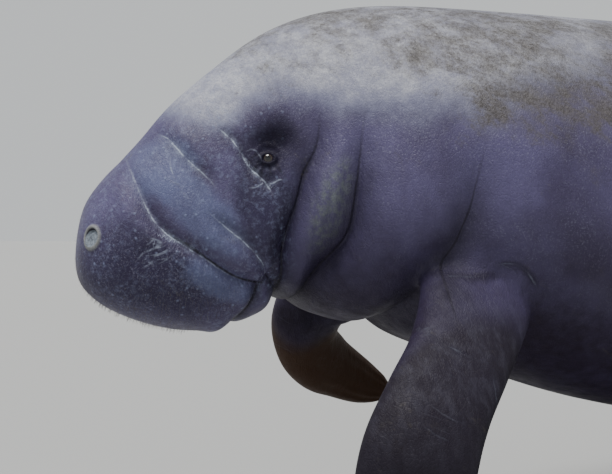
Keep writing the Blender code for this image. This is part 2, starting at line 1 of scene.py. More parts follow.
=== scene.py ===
# %% [markdown]
# # A life-size manatee on a plain display stand
# The animal is a West Indian manatee in the pose of a swimmer: head bent down, both flippers lowered, the
# paddle of the tail drooping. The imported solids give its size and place. This script gives it one seamless
# skin with folds, wrinkles and colour, then eyes, nails, bristles and a painted stand, and lights it softly.

# %% Load the solids
import math

import bmesh
import bpy
import numpy as np
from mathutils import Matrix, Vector


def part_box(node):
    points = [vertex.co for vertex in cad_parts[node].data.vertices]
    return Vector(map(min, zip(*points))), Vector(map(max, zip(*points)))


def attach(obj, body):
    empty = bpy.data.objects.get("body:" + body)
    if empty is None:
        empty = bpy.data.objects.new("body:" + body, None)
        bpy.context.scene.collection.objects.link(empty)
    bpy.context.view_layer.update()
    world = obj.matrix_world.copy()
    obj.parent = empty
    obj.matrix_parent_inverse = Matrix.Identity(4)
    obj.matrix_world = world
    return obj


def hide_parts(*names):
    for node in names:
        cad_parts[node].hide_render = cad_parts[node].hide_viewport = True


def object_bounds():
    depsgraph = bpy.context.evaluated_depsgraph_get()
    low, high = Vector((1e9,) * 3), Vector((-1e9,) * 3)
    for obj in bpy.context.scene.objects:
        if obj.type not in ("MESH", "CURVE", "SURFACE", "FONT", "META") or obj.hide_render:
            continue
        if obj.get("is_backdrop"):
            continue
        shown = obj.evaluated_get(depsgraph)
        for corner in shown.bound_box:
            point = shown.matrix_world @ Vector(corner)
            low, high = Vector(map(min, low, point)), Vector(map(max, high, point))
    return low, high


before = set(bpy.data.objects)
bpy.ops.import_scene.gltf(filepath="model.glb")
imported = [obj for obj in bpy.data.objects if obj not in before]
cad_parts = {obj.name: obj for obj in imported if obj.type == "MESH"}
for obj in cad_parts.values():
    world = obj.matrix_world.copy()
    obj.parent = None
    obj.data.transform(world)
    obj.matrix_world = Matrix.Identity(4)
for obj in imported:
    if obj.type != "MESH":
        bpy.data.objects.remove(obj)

CAD_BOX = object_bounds()
HEAD_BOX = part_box("head")
SNOUT = np.array([0.0, HEAD_BOX[0].y, 0.60])
print("the tip of the snout is at", [round(float(v), 4) for v in SNOUT])

# %% [markdown]
# ## The run of the body
# The trunk is a loft: a row of flat sections threaded from the snout to the tip of the tail. Each section is
# given by its top, its bottom, its half width and three powers that make it rounder or squarer, so the whole
# outline can be read from one table. The same numbers shape the solids, so the skin lands on them.

# %% The sections
SECTIONS = (
    ("snout", (0.000, -0.020), (0.000, -0.020), 0.000, 0.45, 1.00, 1.00, 1.00),
    ("nostril", (0.004, 0.014), (0.003, -0.053), 0.030, 0.40, 0.95, 1.02, 0.90),
    ("lip", (0.0120, 0.042), (0.014, -0.072), 0.051, 0.36, 0.92, 1.04, 0.84),
    ("muzzle_front", (0.0395, 0.080), (0.042, -0.093), 0.076, 0.34, 0.90, 1.04, 0.80),
    ("muzzle", (0.077, 0.122), (0.082, -0.110), 0.091, 0.34, 0.90, 1.02, 0.78),
    ("muzzle_back", (0.113, 0.1665), (0.120, -0.120), 0.099, 0.35, 0.92, 1.00, 0.78),
    ("cheek", (0.174, 0.2235), (0.178, -0.122), 0.109, 0.37, 0.94, 1.00, 0.82),
    ("eye", (0.238, 0.274), (0.232, -0.104), 0.124, 0.38, 0.95, 1.00, 0.86),
    ("nape", (0.303, 0.306), (0.277, -0.086), 0.146, 0.40, 0.96, 1.00, 0.88),
    ("neck", (0.384, 0.325), (0.335, -0.103), 0.188, 0.42, 0.96, 0.98, 0.88),
    ("shoulder", (0.500, 0.331), (0.450, -0.146), 0.240, 0.44, 0.95, 0.96, 0.88),
    ("chest", (0.740, 0.335), (0.700, -0.238), 0.292, 0.45, 0.94, 0.94, 0.88),
    ("ribs", (1.020, 0.342), (1.000, -0.298), 0.332, 0.46, 0.93, 0.93, 0.87),
    ("belly", (1.360, 0.348), (1.360, -0.324), 0.352, 0.46, 0.93, 0.93, 0.87),
    ("loin", (1.680, 0.300), (1.680, -0.298), 0.320, 0.47, 0.94, 0.95, 0.90),
    ("hip", (1.960, 0.222), (1.960, -0.228), 0.250, 0.48, 0.96, 1.00, 0.96),
    ("tail_root", (2.190, 0.128), (2.190, -0.148), 0.180, 0.50, 1.00, 1.05, 1.05),
    ("paddle_root", (2.330, 0.072), (2.330, -0.118), 0.196, 0.50, 1.00, 1.15, 1.15),
    ("paddle", (2.490, 0.014), (2.490, -0.104), 0.276, 0.50, 1.00, 1.25, 1.25),
    ("paddle_widest", (2.650, -0.036), (2.650, -0.106), 0.324, 0.50, 1.00, 1.30, 1.30),
    ("paddle_back", (2.810, -0.076), (2.810, -0.120), 0.272, 0.50, 1.00, 1.30, 1.30),
    ("paddle_edge", (2.900, -0.098), (2.900, -0.124), 0.150, 0.50, 1.00, 1.20, 1.20),
    ("tail_tip", (2.924, -0.112), (2.924, -0.112), 0.000, 0.50, 1.00, 1.20, 1.20),
)
print(len(SECTIONS), "sections")

# %% A smooth closed curve through named values


def closed_spline(places, values):
    gaps = np.diff(places)
    count = len(gaps)
    slopes = np.diff(values) / gaps
    matrix = np.zeros((count, count))
    for k in range(count):
        before = gaps[k - 1]
        matrix[k, k - 1] += before
        matrix[k, k] += 2 * (before + gaps[k])
        matrix[k, (k + 1) % count] += gaps[k]
    bends = np.linalg.solve(matrix, 6 * (slopes - np.roll(slopes, 1)))
    bends = np.append(bends, bends[0])

    def at(place):
        k = np.clip(np.searchsorted(places, place, side="right") - 1, 0, count - 1)
        ahead = (place - places[k]) / gaps[k]
        behind = 1 - ahead
        lift = (ahead**3 - ahead) * bends[k + 1] + (behind**3 - behind) * bends[k]
        return ahead * values[k + 1] + behind * values[k] + lift * gaps[k] ** 2 / 6

    return at


# %% The trunk's splines, down the back and home along the belly
BACK = np.array([row[1] for row in SECTIONS])
BELLY = np.array([row[2] for row in SECTIONS])
HALF = np.array([row[3] for row in SECTIONS])
STEPS_ALONG = np.diff(np.column_stack([BACK, HALF]), axis=0)
ALONG = np.concatenate([[0.0], np.cumsum(np.linalg.norm(STEPS_ALONG, axis=1))])
END = ALONG[-1]


def round_the_body(along_back, along_belly):
    places = np.concatenate([ALONG, 2 * END - ALONG[-2::-1]])
    return closed_spline(places, np.concatenate([along_back, along_belly[-2::-1]]))


AFT = round_the_body(BACK[:, 0], BELLY[:, 0])
UP = round_the_body(BACK[:, 1], BELLY[:, 1])
WIDE = round_the_body(HALF, -HALF)
WIDEST, SIDE_POWER, TOP_POWER, BOTTOM_POWER = (
    round_the_body(column, column) for column in np.array([row[4:] for row in SECTIONS]).T
)
print("the skin runs", round(float(END), 3), "m from the snout to the tip of the tail")

# %% The smooth trunk and its outward direction


def signed_power(value, power):
    return np.sign(value) * np.abs(value) ** power


def smooth_skin(u, turn):
    back = np.stack([AFT(u), UP(u)], axis=-1)
    belly = np.stack([AFT(2 * END - u), UP(2 * END - u)], axis=-1)
    middle = belly + (back - belly) * WIDEST(u)[..., None]
    rise = signed_power(np.cos(turn), TOP_POWER(u))
    drop = signed_power(np.cos(turn), BOTTOM_POWER(u))
    upper = middle + (back - middle) * rise[..., None]
    lower = middle - (belly - middle) * drop[..., None]
    flat = np.where((np.cos(turn) > 0)[..., None], upper, lower)
    side = WIDE(u) * signed_power(np.sin(turn), SIDE_POWER(u))
    return np.stack([side, flat[..., 0], flat[..., 1]], axis=-1)


def skin_normal(u, turn):
    small_u = 0.0015
    small_turn = 0.012
    inside = np.clip(u, small_u, END - small_u)
    along = smooth_skin(inside + small_u, turn) - smooth_skin(inside - small_u, turn)
    around = smooth_skin(inside, turn + small_turn) - smooth_skin(inside, turn - small_turn)
    out = np.cross(around, along)
    return out / np.maximum(np.linalg.norm(out, axis=-1, keepdims=True), 1e-12)


# %% [markdown]
# ## Folds
# A manatee's hide is thick and folds in a few fixed places: over the muzzle, behind the cheek's lobe, under
# the eye, round the jowl and throat, and before the flipper. Each fold is a line drawn on the side view, and
# it lowers the skin by a bell-shaped valley with a roll beside it. A narrow second valley inside the first
# gives the crisp dark line that a real fold has.

# %% Lines in the side view


def ease(share):
    share = np.clip(share, 0.0, 1.0)
    return share * share * (3 - 2 * share)


def smooth_line(places, steps):
    rows = np.asarray(places, dtype=float)
    rows = np.vstack([2 * rows[0] - rows[1], rows, 2 * rows[-1] - rows[-2]])
    made = []
    for before, start, end, after in zip(rows, rows[1:], rows[2:], rows[3:]):
        for t in np.arange(steps) / steps:
            bend = 2 * before - 5 * start + 4 * end - after
            twist = 3 * start - before - 3 * end + after
            made.append(start + 0.5 * (t * (end - before) + t**2 * bend + t**3 * twist))
    made.append(rows[-2])
    return np.array(made)


def from_line(seen, line):
    steps = np.diff(line, axis=0)
    lengths = np.linalg.norm(steps, axis=1)
    before = np.concatenate([[0.0], np.cumsum(lengths)])
    near = np.full(seen.shape[:-1], np.inf)
    share = np.zeros(seen.shape[:-1])
    side = np.zeros(seen.shape[:-1])
    for start, step, length, passed in zip(line, steps, lengths, before):
        reach = seen - start
        t = np.clip((reach @ step) / length**2, 0.0, 1.0)
        away = reach - t[..., None] * step
        gap = np.linalg.norm(away, axis=-1)
        closer = gap < near
        near = np.where(closer, gap, near)
        share = np.where(closer, (passed + t * length) / before[-1], share)
        side = np.where(closer, np.sign(away[..., 0] * -step[1] + away[..., 1] * step[0]), side)
    return near, share, side


def faded(share, fade_in, fade_out):
    """1 along a line, easing to 0 over the given share of each end."""
    return ease(share / max(fade_in, 1e-6)) * ease((1 - share) / max(fade_out, 1e-6))


# %% The folds: depth, half width, roll beside it, fade in, fade out, crisp depth, paleness, places
FOLDS = (
    ("over_muzzle", 0.0050, 0.0095, -0.003, 0.35, 0.0, 0.0020, 0.9,
     ((0.058, 0.112), (0.062, 0.084), (0.072, 0.050), (0.087, 0.018), (0.107, -0.002), (0.144, -0.026),
      (0.172, -0.045), (0.212, -0.061))),
    ("over_cheek", 0.0028, 0.0095, 0.002, 0.4, 0.3, 0.0008, 0.7,
     ((0.086, 0.142), (0.097, 0.130), (0.108, 0.121), (0.124, 0.098), (0.148, 0.073), (0.160, 0.056))),
    ("behind_cheek", 0.0050, 0.0095, -0.004, 0.3, 0.2, 0.0015, 0.6,
     ((0.143, 0.034), (0.167, 0.013), (0.197, -0.012), (0.219, -0.039), (0.214, -0.058))),
    ("under_eye", 0.0022, 0.0080, 0.001, 0.2, 0.2, 0.0012, 0.90,
     ((0.159, 0.140), (0.172, 0.128), (0.184, 0.114), (0.193, 0.096), (0.201, 0.083), (0.214, 0.071),
      (0.220, 0.061), (0.227, 0.047))),
    ("mouth", 0.0075, 0.0080, -0.004, 0.0, 0.0, 0.0030, 0.0,
     ((0.214, -0.058), (0.212, -0.075), (0.206, -0.094), (0.195, -0.112), (0.184, -0.140))),
    ("behind_chin", 0.0060, 0.0110, 0.002, 0.0, 0.0, 0.0010, 0.0,
     ((0.222, -0.046), (0.240, -0.066), (0.256, -0.082), (0.262, -0.110))),
    ("jowl", 0.0090, 0.0120, 0.006, 0.4, 0.0, 0.0045, 0.0,
     ((0.284, 0.176), (0.278, 0.116), (0.262, 0.079), (0.254, 0.045), (0.244, 0.011), (0.241, -0.022),
      (0.250, -0.073), (0.262, -0.120))),
    ("throat", 0.0090, 0.0150, 0.007, 0.5, 0.0, 0.0040, 0.0,
     ((0.336, 0.180), (0.325, 0.124), (0.318, 0.057), (0.311, 0.000), (0.288, -0.039), (0.280, -0.070),
      (0.284, -0.130))),
    ("shoulder", 0.0110, 0.0200, -0.004, 0.5, 0.1, 0.0040, 0.0,
     ((0.462, 0.140), (0.449, 0.080), (0.431, 0.000), (0.406, -0.049), (0.398, -0.107), (0.404, -0.170))),
)
SWELLS = (
    ("cheek_lobe", 0.0050, (0.152, 0.018), 0.075, 0.024, -44),
    ("bristle_pad", 0.0040, (0.098, -0.062), 0.065, 0.038, -20),
    ("brow", 0.0035, (0.215, 0.150), 0.045, 0.020, 35),
    ("eye_hollow", -0.0055, (0.224, 0.110), 0.030, 0.024, 40),
    ("behind_cheek", -0.0050, (0.234, -0.030), 0.040, 0.014, 80),
    ("neck_roll", 0.0060, (0.284, 0.030), 0.095, 0.022, 72),
    ("shoulder_roll", 0.0080, (0.368, 0.000), 0.130, 0.040, 76),
    ("armpit", -0.0100, (0.425, -0.110), 0.050, 0.030, 20),
)
CRISP_WIDTH = 0.0028


def fold_relief(seen):
    height = np.zeros(seen.shape[:-1])
    for _, depth, width, roll, fade_in, fade_out, crisp, _, places in FOLDS:
        near, share, side = from_line(seen, smooth_line(places, 5))
        fade = faded(share, fade_in, fade_out)
        height -= depth * fade * np.exp(-((near / width) ** 2))
        height -= crisp * fade * np.exp(-((near / CRISP_WIDTH) ** 2))
        beside = np.exp(-(((near - 2.0 * width) / (1.6 * width)) ** 2))
        height += abs(roll) * fade * beside * (side * np.sign(roll) > 0)
    return height


def swell_relief(seen):
    height = np.zeros(seen.shape[:-1])
    for _, rise, centre, half_long, half_wide, tilt in SWELLS:
        angle = math.radians(tilt)
        away = seen - np.array(centre)
        long_way = away[..., 0] * math.cos(angle) + away[..., 1] * math.sin(angle)
        wide_way = away[..., 1] * math.cos(angle) - away[..., 0] * math.sin(angle)
        height += rise * np.exp(-((long_way / half_long) ** 2) - (wide_way / half_wide) ** 2)
    return height


print(len(FOLDS), "folds and", len(SWELLS), "swells")

# %% [markdown]
# ## Nostrils, lids and fine wrinkles
# The nostril is a raised oval rim round a pit, and a soft valve fills most of the pit, so that only a dark
# crescent shows. The eye is tiny, set deep in a ring of wrinkled skin that closes on it like a drawn purse.
# Both are measured from a point on the skin, with one direction down the skin and one aft along it.

# %% Places on the skin
NOSTRIL_AT = (0.089, 66.0)
EYE_AT = (0.396, 73.2)
EYE_RADIUS = 0.011
EYE_SUNK = 0.0085


def place_on_skin(u, degrees):
    here = (np.array(u), np.array(math.radians(degrees)))
    spot = smooth_skin(*here)
    out = skin_normal(*here)
    down = smooth_skin(here[0], here[1] + 0.017) - spot
    down = down - out * (down @ out)
    down = down / np.linalg.norm(down)
    return spot, out, down, np.cross(out, down)


NOSTRIL_SPOT, NOSTRIL_OUT, NOSTRIL_DOWN, NOSTRIL_AFT = place_on_skin(*NOSTRIL_AT)
EYE_SPOT, EYE_OUT, EYE_DOWN, EYE_AFT = place_on_skin(*EYE_AT)

# %% Relief of the small features


def left_side(place):
    return np.stack([np.abs(place[..., 0]), place[..., 1], place[..., 2]], axis=-1)


VALVE_AT = (0.10, -0.06)


def nostril_ring(place):
    away = left_side(place) - NOSTRIL_SPOT
    long_way = (away @ NOSTRIL_DOWN) / 0.0130
    wide_way = (away @ NOSTRIL_AFT) / 0.0116
    ring = np.sqrt(long_way**2 + wide_way**2 + ((away @ NOSTRIL_OUT) / 0.04) ** 2)
    return ring, long_way, wide_way


def nostril_relief(place):
    ring, long_way, wide_way = nostril_ring(place)
    rim = 0.0024 * np.exp(-(((ring - 1.02) / 0.22) ** 2))
    pit = 0.0062 * np.exp(-((ring / 0.78) ** 6))
    valve = np.hypot(long_way - VALVE_AT[0], wide_way - VALVE_AT[1])
    return rim - pit + 0.0054 * np.exp(-((valve / 0.76) ** 6)) * (ring < 1.2)


def eye_relief(place):
    away = left_side(place) - EYE_SPOT
    down = away @ EYE_DOWN
    aft = away @ EYE_AFT
    across = np.sqrt(down**2 + aft**2)
    near = np.abs(away @ EYE_OUT) < 0.03
    opening = np.sqrt((down / 0.82) ** 2 + (aft / 1.12) ** 2)
    lids = 0.0030 * np.exp(-(((opening - 0.0080) / 0.0028) ** 2))
    outer = 0.0010 * np.exp(-(((across - 0.0180) / 0.0030) ** 2))
    spokes = np.cos(15 * np.arctan2(down, aft) + 1.8 * np.sin(2 * np.arctan2(down, aft)))
    fan = 0.25 + 0.75 * ease((down + 0.008) / 0.018)
    purse = 0.0007 * spokes * fan * np.exp(-(((across - 0.0210) / 0.0085) ** 2))
    return (lids + outer + purse) * near


def cleft_relief(place):
    below = ease((-0.02 - place[..., 2]) / 0.03) * ease((0.13 - place[..., 1]) / 0.05)
    return -0.005 * below * np.exp(-((place[..., 0] / 0.010) ** 2))


# %% Fine wrinkles: depth, half width, the line's places in the side view
WRINKLES = (
    (0.0009, 0.0016, ((0.064, -0.030), (0.071, -0.020), (0.087, -0.013), (0.104, -0.010))),
    (0.0008, 0.0016, ((0.073, -0.009), (0.085, -0.008), (0.098, -0.007))),
    (0.0009, 0.0016, ((0.080, -0.025), (0.090, -0.021), (0.104, -0.016))),
    (0.0008, 0.0016, ((0.086, -0.034), (0.096, -0.028), (0.106, -0.021))),
    (0.0008, 0.0018, ((0.214, 0.068), (0.223, 0.070), (0.232, 0.074), (0.240, 0.075))),
    (0.0008, 0.0018, ((0.214, 0.068), (0.220, 0.060), (0.229, 0.057))),
    (0.0012, 0.0030, ((0.262, 0.090), (0.272, 0.052), (0.276, 0.018), (0.270, -0.014))),
    (0.0012, 0.0030, ((0.290, 0.118), (0.292, 0.070), (0.290, 0.030), (0.280, -0.006))),
    (0.0010, 0.0030, ((0.302, 0.120), (0.306, 0.076), (0.302, 0.040), (0.294, 0.010))),
    (0.0014, 0.0040, ((0.345, 0.150), (0.352, 0.090), (0.346, 0.040), (0.334, -0.010))),
    (0.0014, 0.0045, ((0.392, 0.130), (0.398, 0.070), (0.392, 0.020), (0.376, -0.040))),
    (0.0020, 0.0045, ((0.520, -0.050), (0.545, -0.030), (0.560, 0.000))),
    (0.0020, 0.0045, ((0.512, -0.070), (0.545, -0.058), (0.575, -0.040))),
    (0.0018, 0.0045, ((0.500, -0.095), (0.530, -0.088), (0.570, -0.080))),
)


def wrinkle_relief(seen):
    height = np.zeros(seen.shape[:-1])
    for depth, width, places in WRINKLES:
        near, share, _ = from_line(seen, smooth_line(places, 4))
        height -= depth * ease(share / 0.3) * ease((1 - share) / 0.3) * np.exp(-((near / width) ** 2))
    return height


def relief(place):
    seen = place[..., 1:]
    height = fold_relief(seen) + swell_relief(seen) + wrinkle_relief(seen) + cleft_relief(place)
    from_poles = ease(place[..., 1] / 0.006)
    return (height + nostril_relief(place) + eye_relief(place)) * from_poles


# %% [markdown]
# ## The skin as a mesh
# The loft is first laid out flat, with the distance along the body on one axis and the turn round it on the
# other. On that flat sheet it is easy to make the grid finer where the detail is: once more over the head,
# and twice more at the nostrils and the eyes. Only then is every corner lifted to its place on the animal.

# %% The flat sheet
TURNS = 120
ROWS = np.concatenate([
    np.arange(0.0, 0.575, 0.0052),
    np.arange(0.575, 0.900, 0.0070),
    np.arange(0.900, 3.340, 0.0235),
    np.linspace(3.340, END, 19),
])


def flat_sheet():
    """The unrolled body as a grid whose corners are (along, turn, 0)."""
    u, turn = np.meshgrid(ROWS, np.linspace(-math.pi, math.pi, TURNS + 1), indexing="ij")
    points = np.stack([u, turn, np.zeros_like(u)], axis=-1).reshape(-1, 3)
    width = TURNS + 1
    corner = np.arange(len(ROWS) * width).reshape(len(ROWS), width)
    quads = np.stack([corner[:-1, :-1], corner[:-1, 1:], corner[1:, 1:], corner[1:, :-1]], axis=-1)
    sheet = bpy.data.meshes.new("sheet")
    sheet.from_pydata(points.tolist(), [], quads.reshape(-1, 4).tolist())
    return sheet


def refine(shape, wanted):
    """Split every edge whose two ends are both wanted."""
    edges = [edge for edge in shape.edges if wanted(edge.verts[0].co) and wanted(edge.verts[1].co)]
    bmesh.ops.subdivide_edges(shape, edges=edges, cuts=1, use_grid_fill=True)
    return len(edges)


HEAD_END = 0.560


def on_head(place):
    return place.x < HEAD_END


def near_feature(place, reach):
    for u, degrees in (NOSTRIL_AT, EYE_AT):
        away = abs(abs(place.y) - math.radians(degrees)) * (0.06 if u < 0.2 else 0.13)
        if math.hypot(place.x - u, away) < reach:
            return True
    return False


shape = bmesh.new()
shape.from_mesh(flat_sheet())
refine(shape, on_head)
refine(shape, lambda place: near_feature(place, 0.030))
refine(shape, lambda place: near_feature(place, 0.019))
print("the flat sheet has", len(shape.faces), "faces")

# %% [markdown]
# The sheet's own layout is a good unwrap of the animal: nothing overlaps, and stretching the head's share of
# it gives the face more room. It is kept as the map that the finish is baked to.

# %% Unwrap, then lift to the body
HEAD_SHARE = 0.46


def unwrap(u):
    """The share of the map's height at a distance along: the head has more than its length alone."""
    return np.where(u < HEAD_END, HEAD_SHARE * u / HEAD_END,
                    HEAD_SHARE + (0.97 - HEAD_SHARE) * (u - HEAD_END) / (END - HEAD_END))


def lift_sheet(shape):
    layer = shape.loops.layers.uv.new("OFBake")
    for face in shape.faces:
        for loop in face.loops:
            place = loop.vert.co
            around = 0.01 + 0.70 * (place.y + math.pi) / (2 * math.pi)
            loop[layer].uv = (around, 0.015 + float(unwrap(place.x)))
    flat = np.array([vert.co[:] for vert in shape.verts])
    u = np.clip(flat[:, 0], 0.0, END)
    smooth = smooth_skin(u, flat[:, 1])
    lifted = smooth + skin_normal(u, flat[:, 1]) * relief(smooth)[:, None] + SNOUT
    for vert, place in zip(shape.verts, lifted):
        vert.co = place
    bmesh.ops.remove_doubles(shape, verts=shape.verts, dist=2e-5)
    bmesh.ops.recalc_face_normals(shape, faces=shape.faces)


def add_mesh(name, shape):
    mesh = bpy.data.meshes.new(name)
    shape.to_mesh(mesh)
    shape.free()
    thing = bpy.data.objects.new(name, mesh)
    bpy.context.scene.collection.objects.link(thing)
    return thing


lift_sheet(shape)
hide = add_mesh("hide", shape)
print("the trunk has", len(hide.data.polygons), "faces")

# %% [markdown]
# ## Flippers
# A flipper is a flat limb: an upper arm that comes out of the shoulder, a bent elbow, a wrist and a broad
# rounded blade. It is lofted along a curved line of listed stations, each with its half width, half thickness
# and turn. A shallow crease at the elbow and faint finger ridges keep it from looking like a paddle of clay.

# %% Stations of the flippers: (out, aft, up), half width, half thickness, turn to the front in degrees
FLIPPER_LEFT = (
    ((0.150, 0.488, -0.038), 0.089, 0.036, 10),
    ((0.212, 0.451, -0.082), 0.070, 0.034, 12),
    ((0.256, 0.404, -0.136), 0.060, 0.029, 16),
    ((0.288, 0.358, -0.182), 0.059, 0.025, 18),
    ((0.304, 0.328, -0.228), 0.062, 0.021, 20),
    ((0.306, 0.317, -0.278), 0.062, 0.017, 18),
    ((0.300, 0.316, -0.330), 0.057, 0.014, 14),
    ((0.287, 0.326, -0.380), 0.044, 0.010, 10),
    ((0.277, 0.336, -0.410), 0.024, 0.007, 8),
)
FLIPPER_RIGHT = (
    ((0.150, 0.462, -0.042), 0.056, 0.040, 0),
    ((0.212, 0.440, -0.082), 0.078, 0.042, 0),
    ((0.258, 0.414, -0.134), 0.072, 0.036, 4),
    ((0.300, 0.425, -0.193), 0.062, 0.029, 12),
    ((0.326, 0.464, -0.233), 0.059, 0.023, 18),
    ((0.348, 0.512, -0.260), 0.051, 0.018, 22),
    ((0.364, 0.560, -0.285), 0.042, 0.014, 24),
    ((0.372, 0.596, -0.300), 0.030, 0.010, 24),
    ((0.375, 0.618, -0.308), 0.016, 0.007, 24),
)
FLIPPERS = {"left": (1, FLIPPER_LEFT), "right": (-1, FLIPPER_RIGHT)}
RINGS_EACH = 9
SIDES = 64


def flipper_frames(stations, steps):
    rows = np.array([(*place, half, thick, turned) for place, half, thick, turned in stations])
    line = smooth_line(rows, steps)
    middle = line[:, :3]
    ahead = np.gradient(middle, axis=0)
    ahead = ahead / np.linalg.norm(ahead, axis=1, keepdims=True)
    turned = np.radians(line[:, 5])
    outward = np.stack([np.cos(turned), -np.sin(turned), 0.35 * np.ones_like(turned)], axis=1)
    outward = outward - ahead * np.sum(outward * ahead, axis=1, keepdims=True)
    outward = outward / np.linalg.norm(outward, axis=1, keepdims=True)
    across = np.cross(outward, ahead)
    return middle, ahead, across, outward, line[:, 3], line[:, 4]


# %% The flipper's mesh


# How high the fingers stand out, and each crease's share along the flipper, slant and depth.
RIDGE_HEIGHT = 0.0009
FLIPPER_CREASES = ((0.30, 0.05, 0.0030), (0.36, -0.04, 0.0018), (0.44, 0.06, 0.0014), (0.58, -0.03, 0.0010))
CREASE_WIDE = 0.010


def flipper_relief(along, angle):
    """Finger ridges on the blade, and slanting creases at the elbow and the wrist."""
    ridges = RIDGE_HEIGHT * np.cos(5 * np.pi * np.cos(angle))
    ridges = ridges * ease((along - 0.45) / 0.2) * ease((1 - along) / 0.12)
    height = ridges * (np.abs(np.sin(angle)) > 0.1)
    for where, slant, depth in FLIPPER_CREASES:
        near = along - where - slant * np.cos(angle)
        height = height - depth * np.exp(-((near / CREASE_WIDE) ** 2)) * (0.6 + 0.4 * np.sin(angle))
    return height


def flipper_mesh(side):
    sign, stations = FLIPPERS[side]
    middle, ahead, across, outward, half, thick = flipper_frames(stations, RINGS_EACH)
    angle = np.linspace(0, 2 * math.pi, SIDES, endpoint=False)
    along = np.linspace(0, 1, len(middle))
    swell = flipper_relief(along[:, None], angle[None, :])
    wide = (signed_power(np.cos(angle), 0.9)[None, :] * half[:, None])[..., None] * across[:, None, :]
    deep = (np.sin(angle)[None, :] * (thick[:, None] + swell))[..., None] * outward[:, None, :]
    rings = middle[:, None, :] + wide + deep
    tip = middle[-1] + ahead[-1] * half[-1] * 0.45
    closing = []
    for t in (0.35, 0.62, 0.82, 0.94):
        closing.append(middle[-1] + (rings[-1] - middle[-1]) * math.sqrt(1 - t * t) + (tip - middle[-1]) * t)
    rings = np.concatenate([rings, closing])
    points = np.vstack([rings.reshape(-1, 3), middle[0], tip]) * np.array([sign, 1, 1]) + SNOUT
    shape = bmesh.new()
    layer = shape.loops.layers.uv.new("OFBake")
    verts = [shape.verts.new(point) for point in points]
    root, end = verts[-2], verts[-1]
    island = 0.74 if sign > 0 else 0.87
    count = len(rings)

    def uv_at(row, k):
        return island + 0.115 * k / SIDES, 0.02 + 0.55 * row / count

    for row in range(-1, count):
        for k in range(SIDES):
            after = (k + 1) % SIDES
            if row < 0:
                corners = ((root, row, k + 0.5), (verts[after], 0, k + 1), (verts[k], 0, k))
            elif row == count - 1:
                corners = ((verts[row * SIDES + k], row, k), (verts[row * SIDES + after], row, k + 1),
                           (end, row + 1, k + 0.5))
            else:
                corners = ((verts[row * SIDES + k], row, k), (verts[row * SIDES + after], row, k + 1),
                           (verts[(row + 1) * SIDES + after], row + 1, k + 1),
                           (verts[(row + 1) * SIDES + k], row + 1, k))
            face = shape.faces.new([vert for vert, _, _ in corners])
            face.material_index = 1
            for loop, (_, r, c) in zip(face.loops, corners):
                loop[layer].uv = uv_at(r, c)
    bmesh.ops.recalc_face_normals(shape, faces=shape.faces)
    return add_mesh("flipper_" + side, shape)


# %% [markdown]
# The flippers are joined to the trunk by a Boolean union, and the skin on both sides of the join is then
# relaxed, so that the limb grows out of the shoulder without a hard line.

# %% Join and relax
RELAX_REACH = 0.030
RELAX_TIMES = 14


def join(thing, tool):
    boolean = thing.modifiers.new("join", "BOOLEAN")
    boolean.operation = "UNION"
    boolean.solver = "EXACT"
    boolean.object = tool
    evaluated = thing.evaluated_get(bpy.context.evaluated_depsgraph_get())
    mesh = bpy.data.meshes.new_from_object(evaluated)
    thing.modifiers.clear()
    thing.data = mesh
    bpy.data.objects.remove(tool, do_unlink=True)


def relax_joins(thing):
    shape = bmesh.new()
    shape.from_mesh(thing.data)
    seam = {vert for edge in shape.edges if len(edge.link_faces) == 2
            and edge.link_faces[0].material_index != edge.link_faces[1].material_index for vert in edge.verts}
    seam_places = np.array([vert.co[:] for vert in seam])
    tree_step = max(1, len(seam_places) // 400)
    seam_places = seam_places[::tree_step]
    every = np.array([vert.co[:] for vert in shape.verts])
    away = np.full(len(every), np.inf)
    for place in seam_places:
        away = np.minimum(away, np.linalg.norm(every - place, axis=1))
    for share in (1.0, 0.7, 0.45):
        close = [vert for vert, gap in zip(shape.verts, away) if gap < RELAX_REACH * share]
        for _ in range(RELAX_TIMES // 2):
            bmesh.ops.smooth_vert(shape, verts=close, factor=0.5, use_axis_x=True, use_axis_y=True,
                                  use_axis_z=True)
    print(len(seam), "corners on the joins,", len(close), "relaxed most")
    shape.to_mesh(thing.data)
    shape.free()


plain = bpy.data.materials.new("plain")
limb = bpy.data.materials.new("limb")
hide.data.materials.append(plain)
hide.data.materials.append(limb)
for side in FLIPPERS:
    piece = flipper_mesh(side)
    piece.data.materials.append(plain)
    piece.data.materials.append(limb)
    join(hide, piece)
relax_joins(hide)
hide.data.shade_smooth()
print("the joined hide has", len(hide.data.polygons), "faces and",
      sum(len(face.vertices) - 2 for face in hide.data.polygons), "triangles")
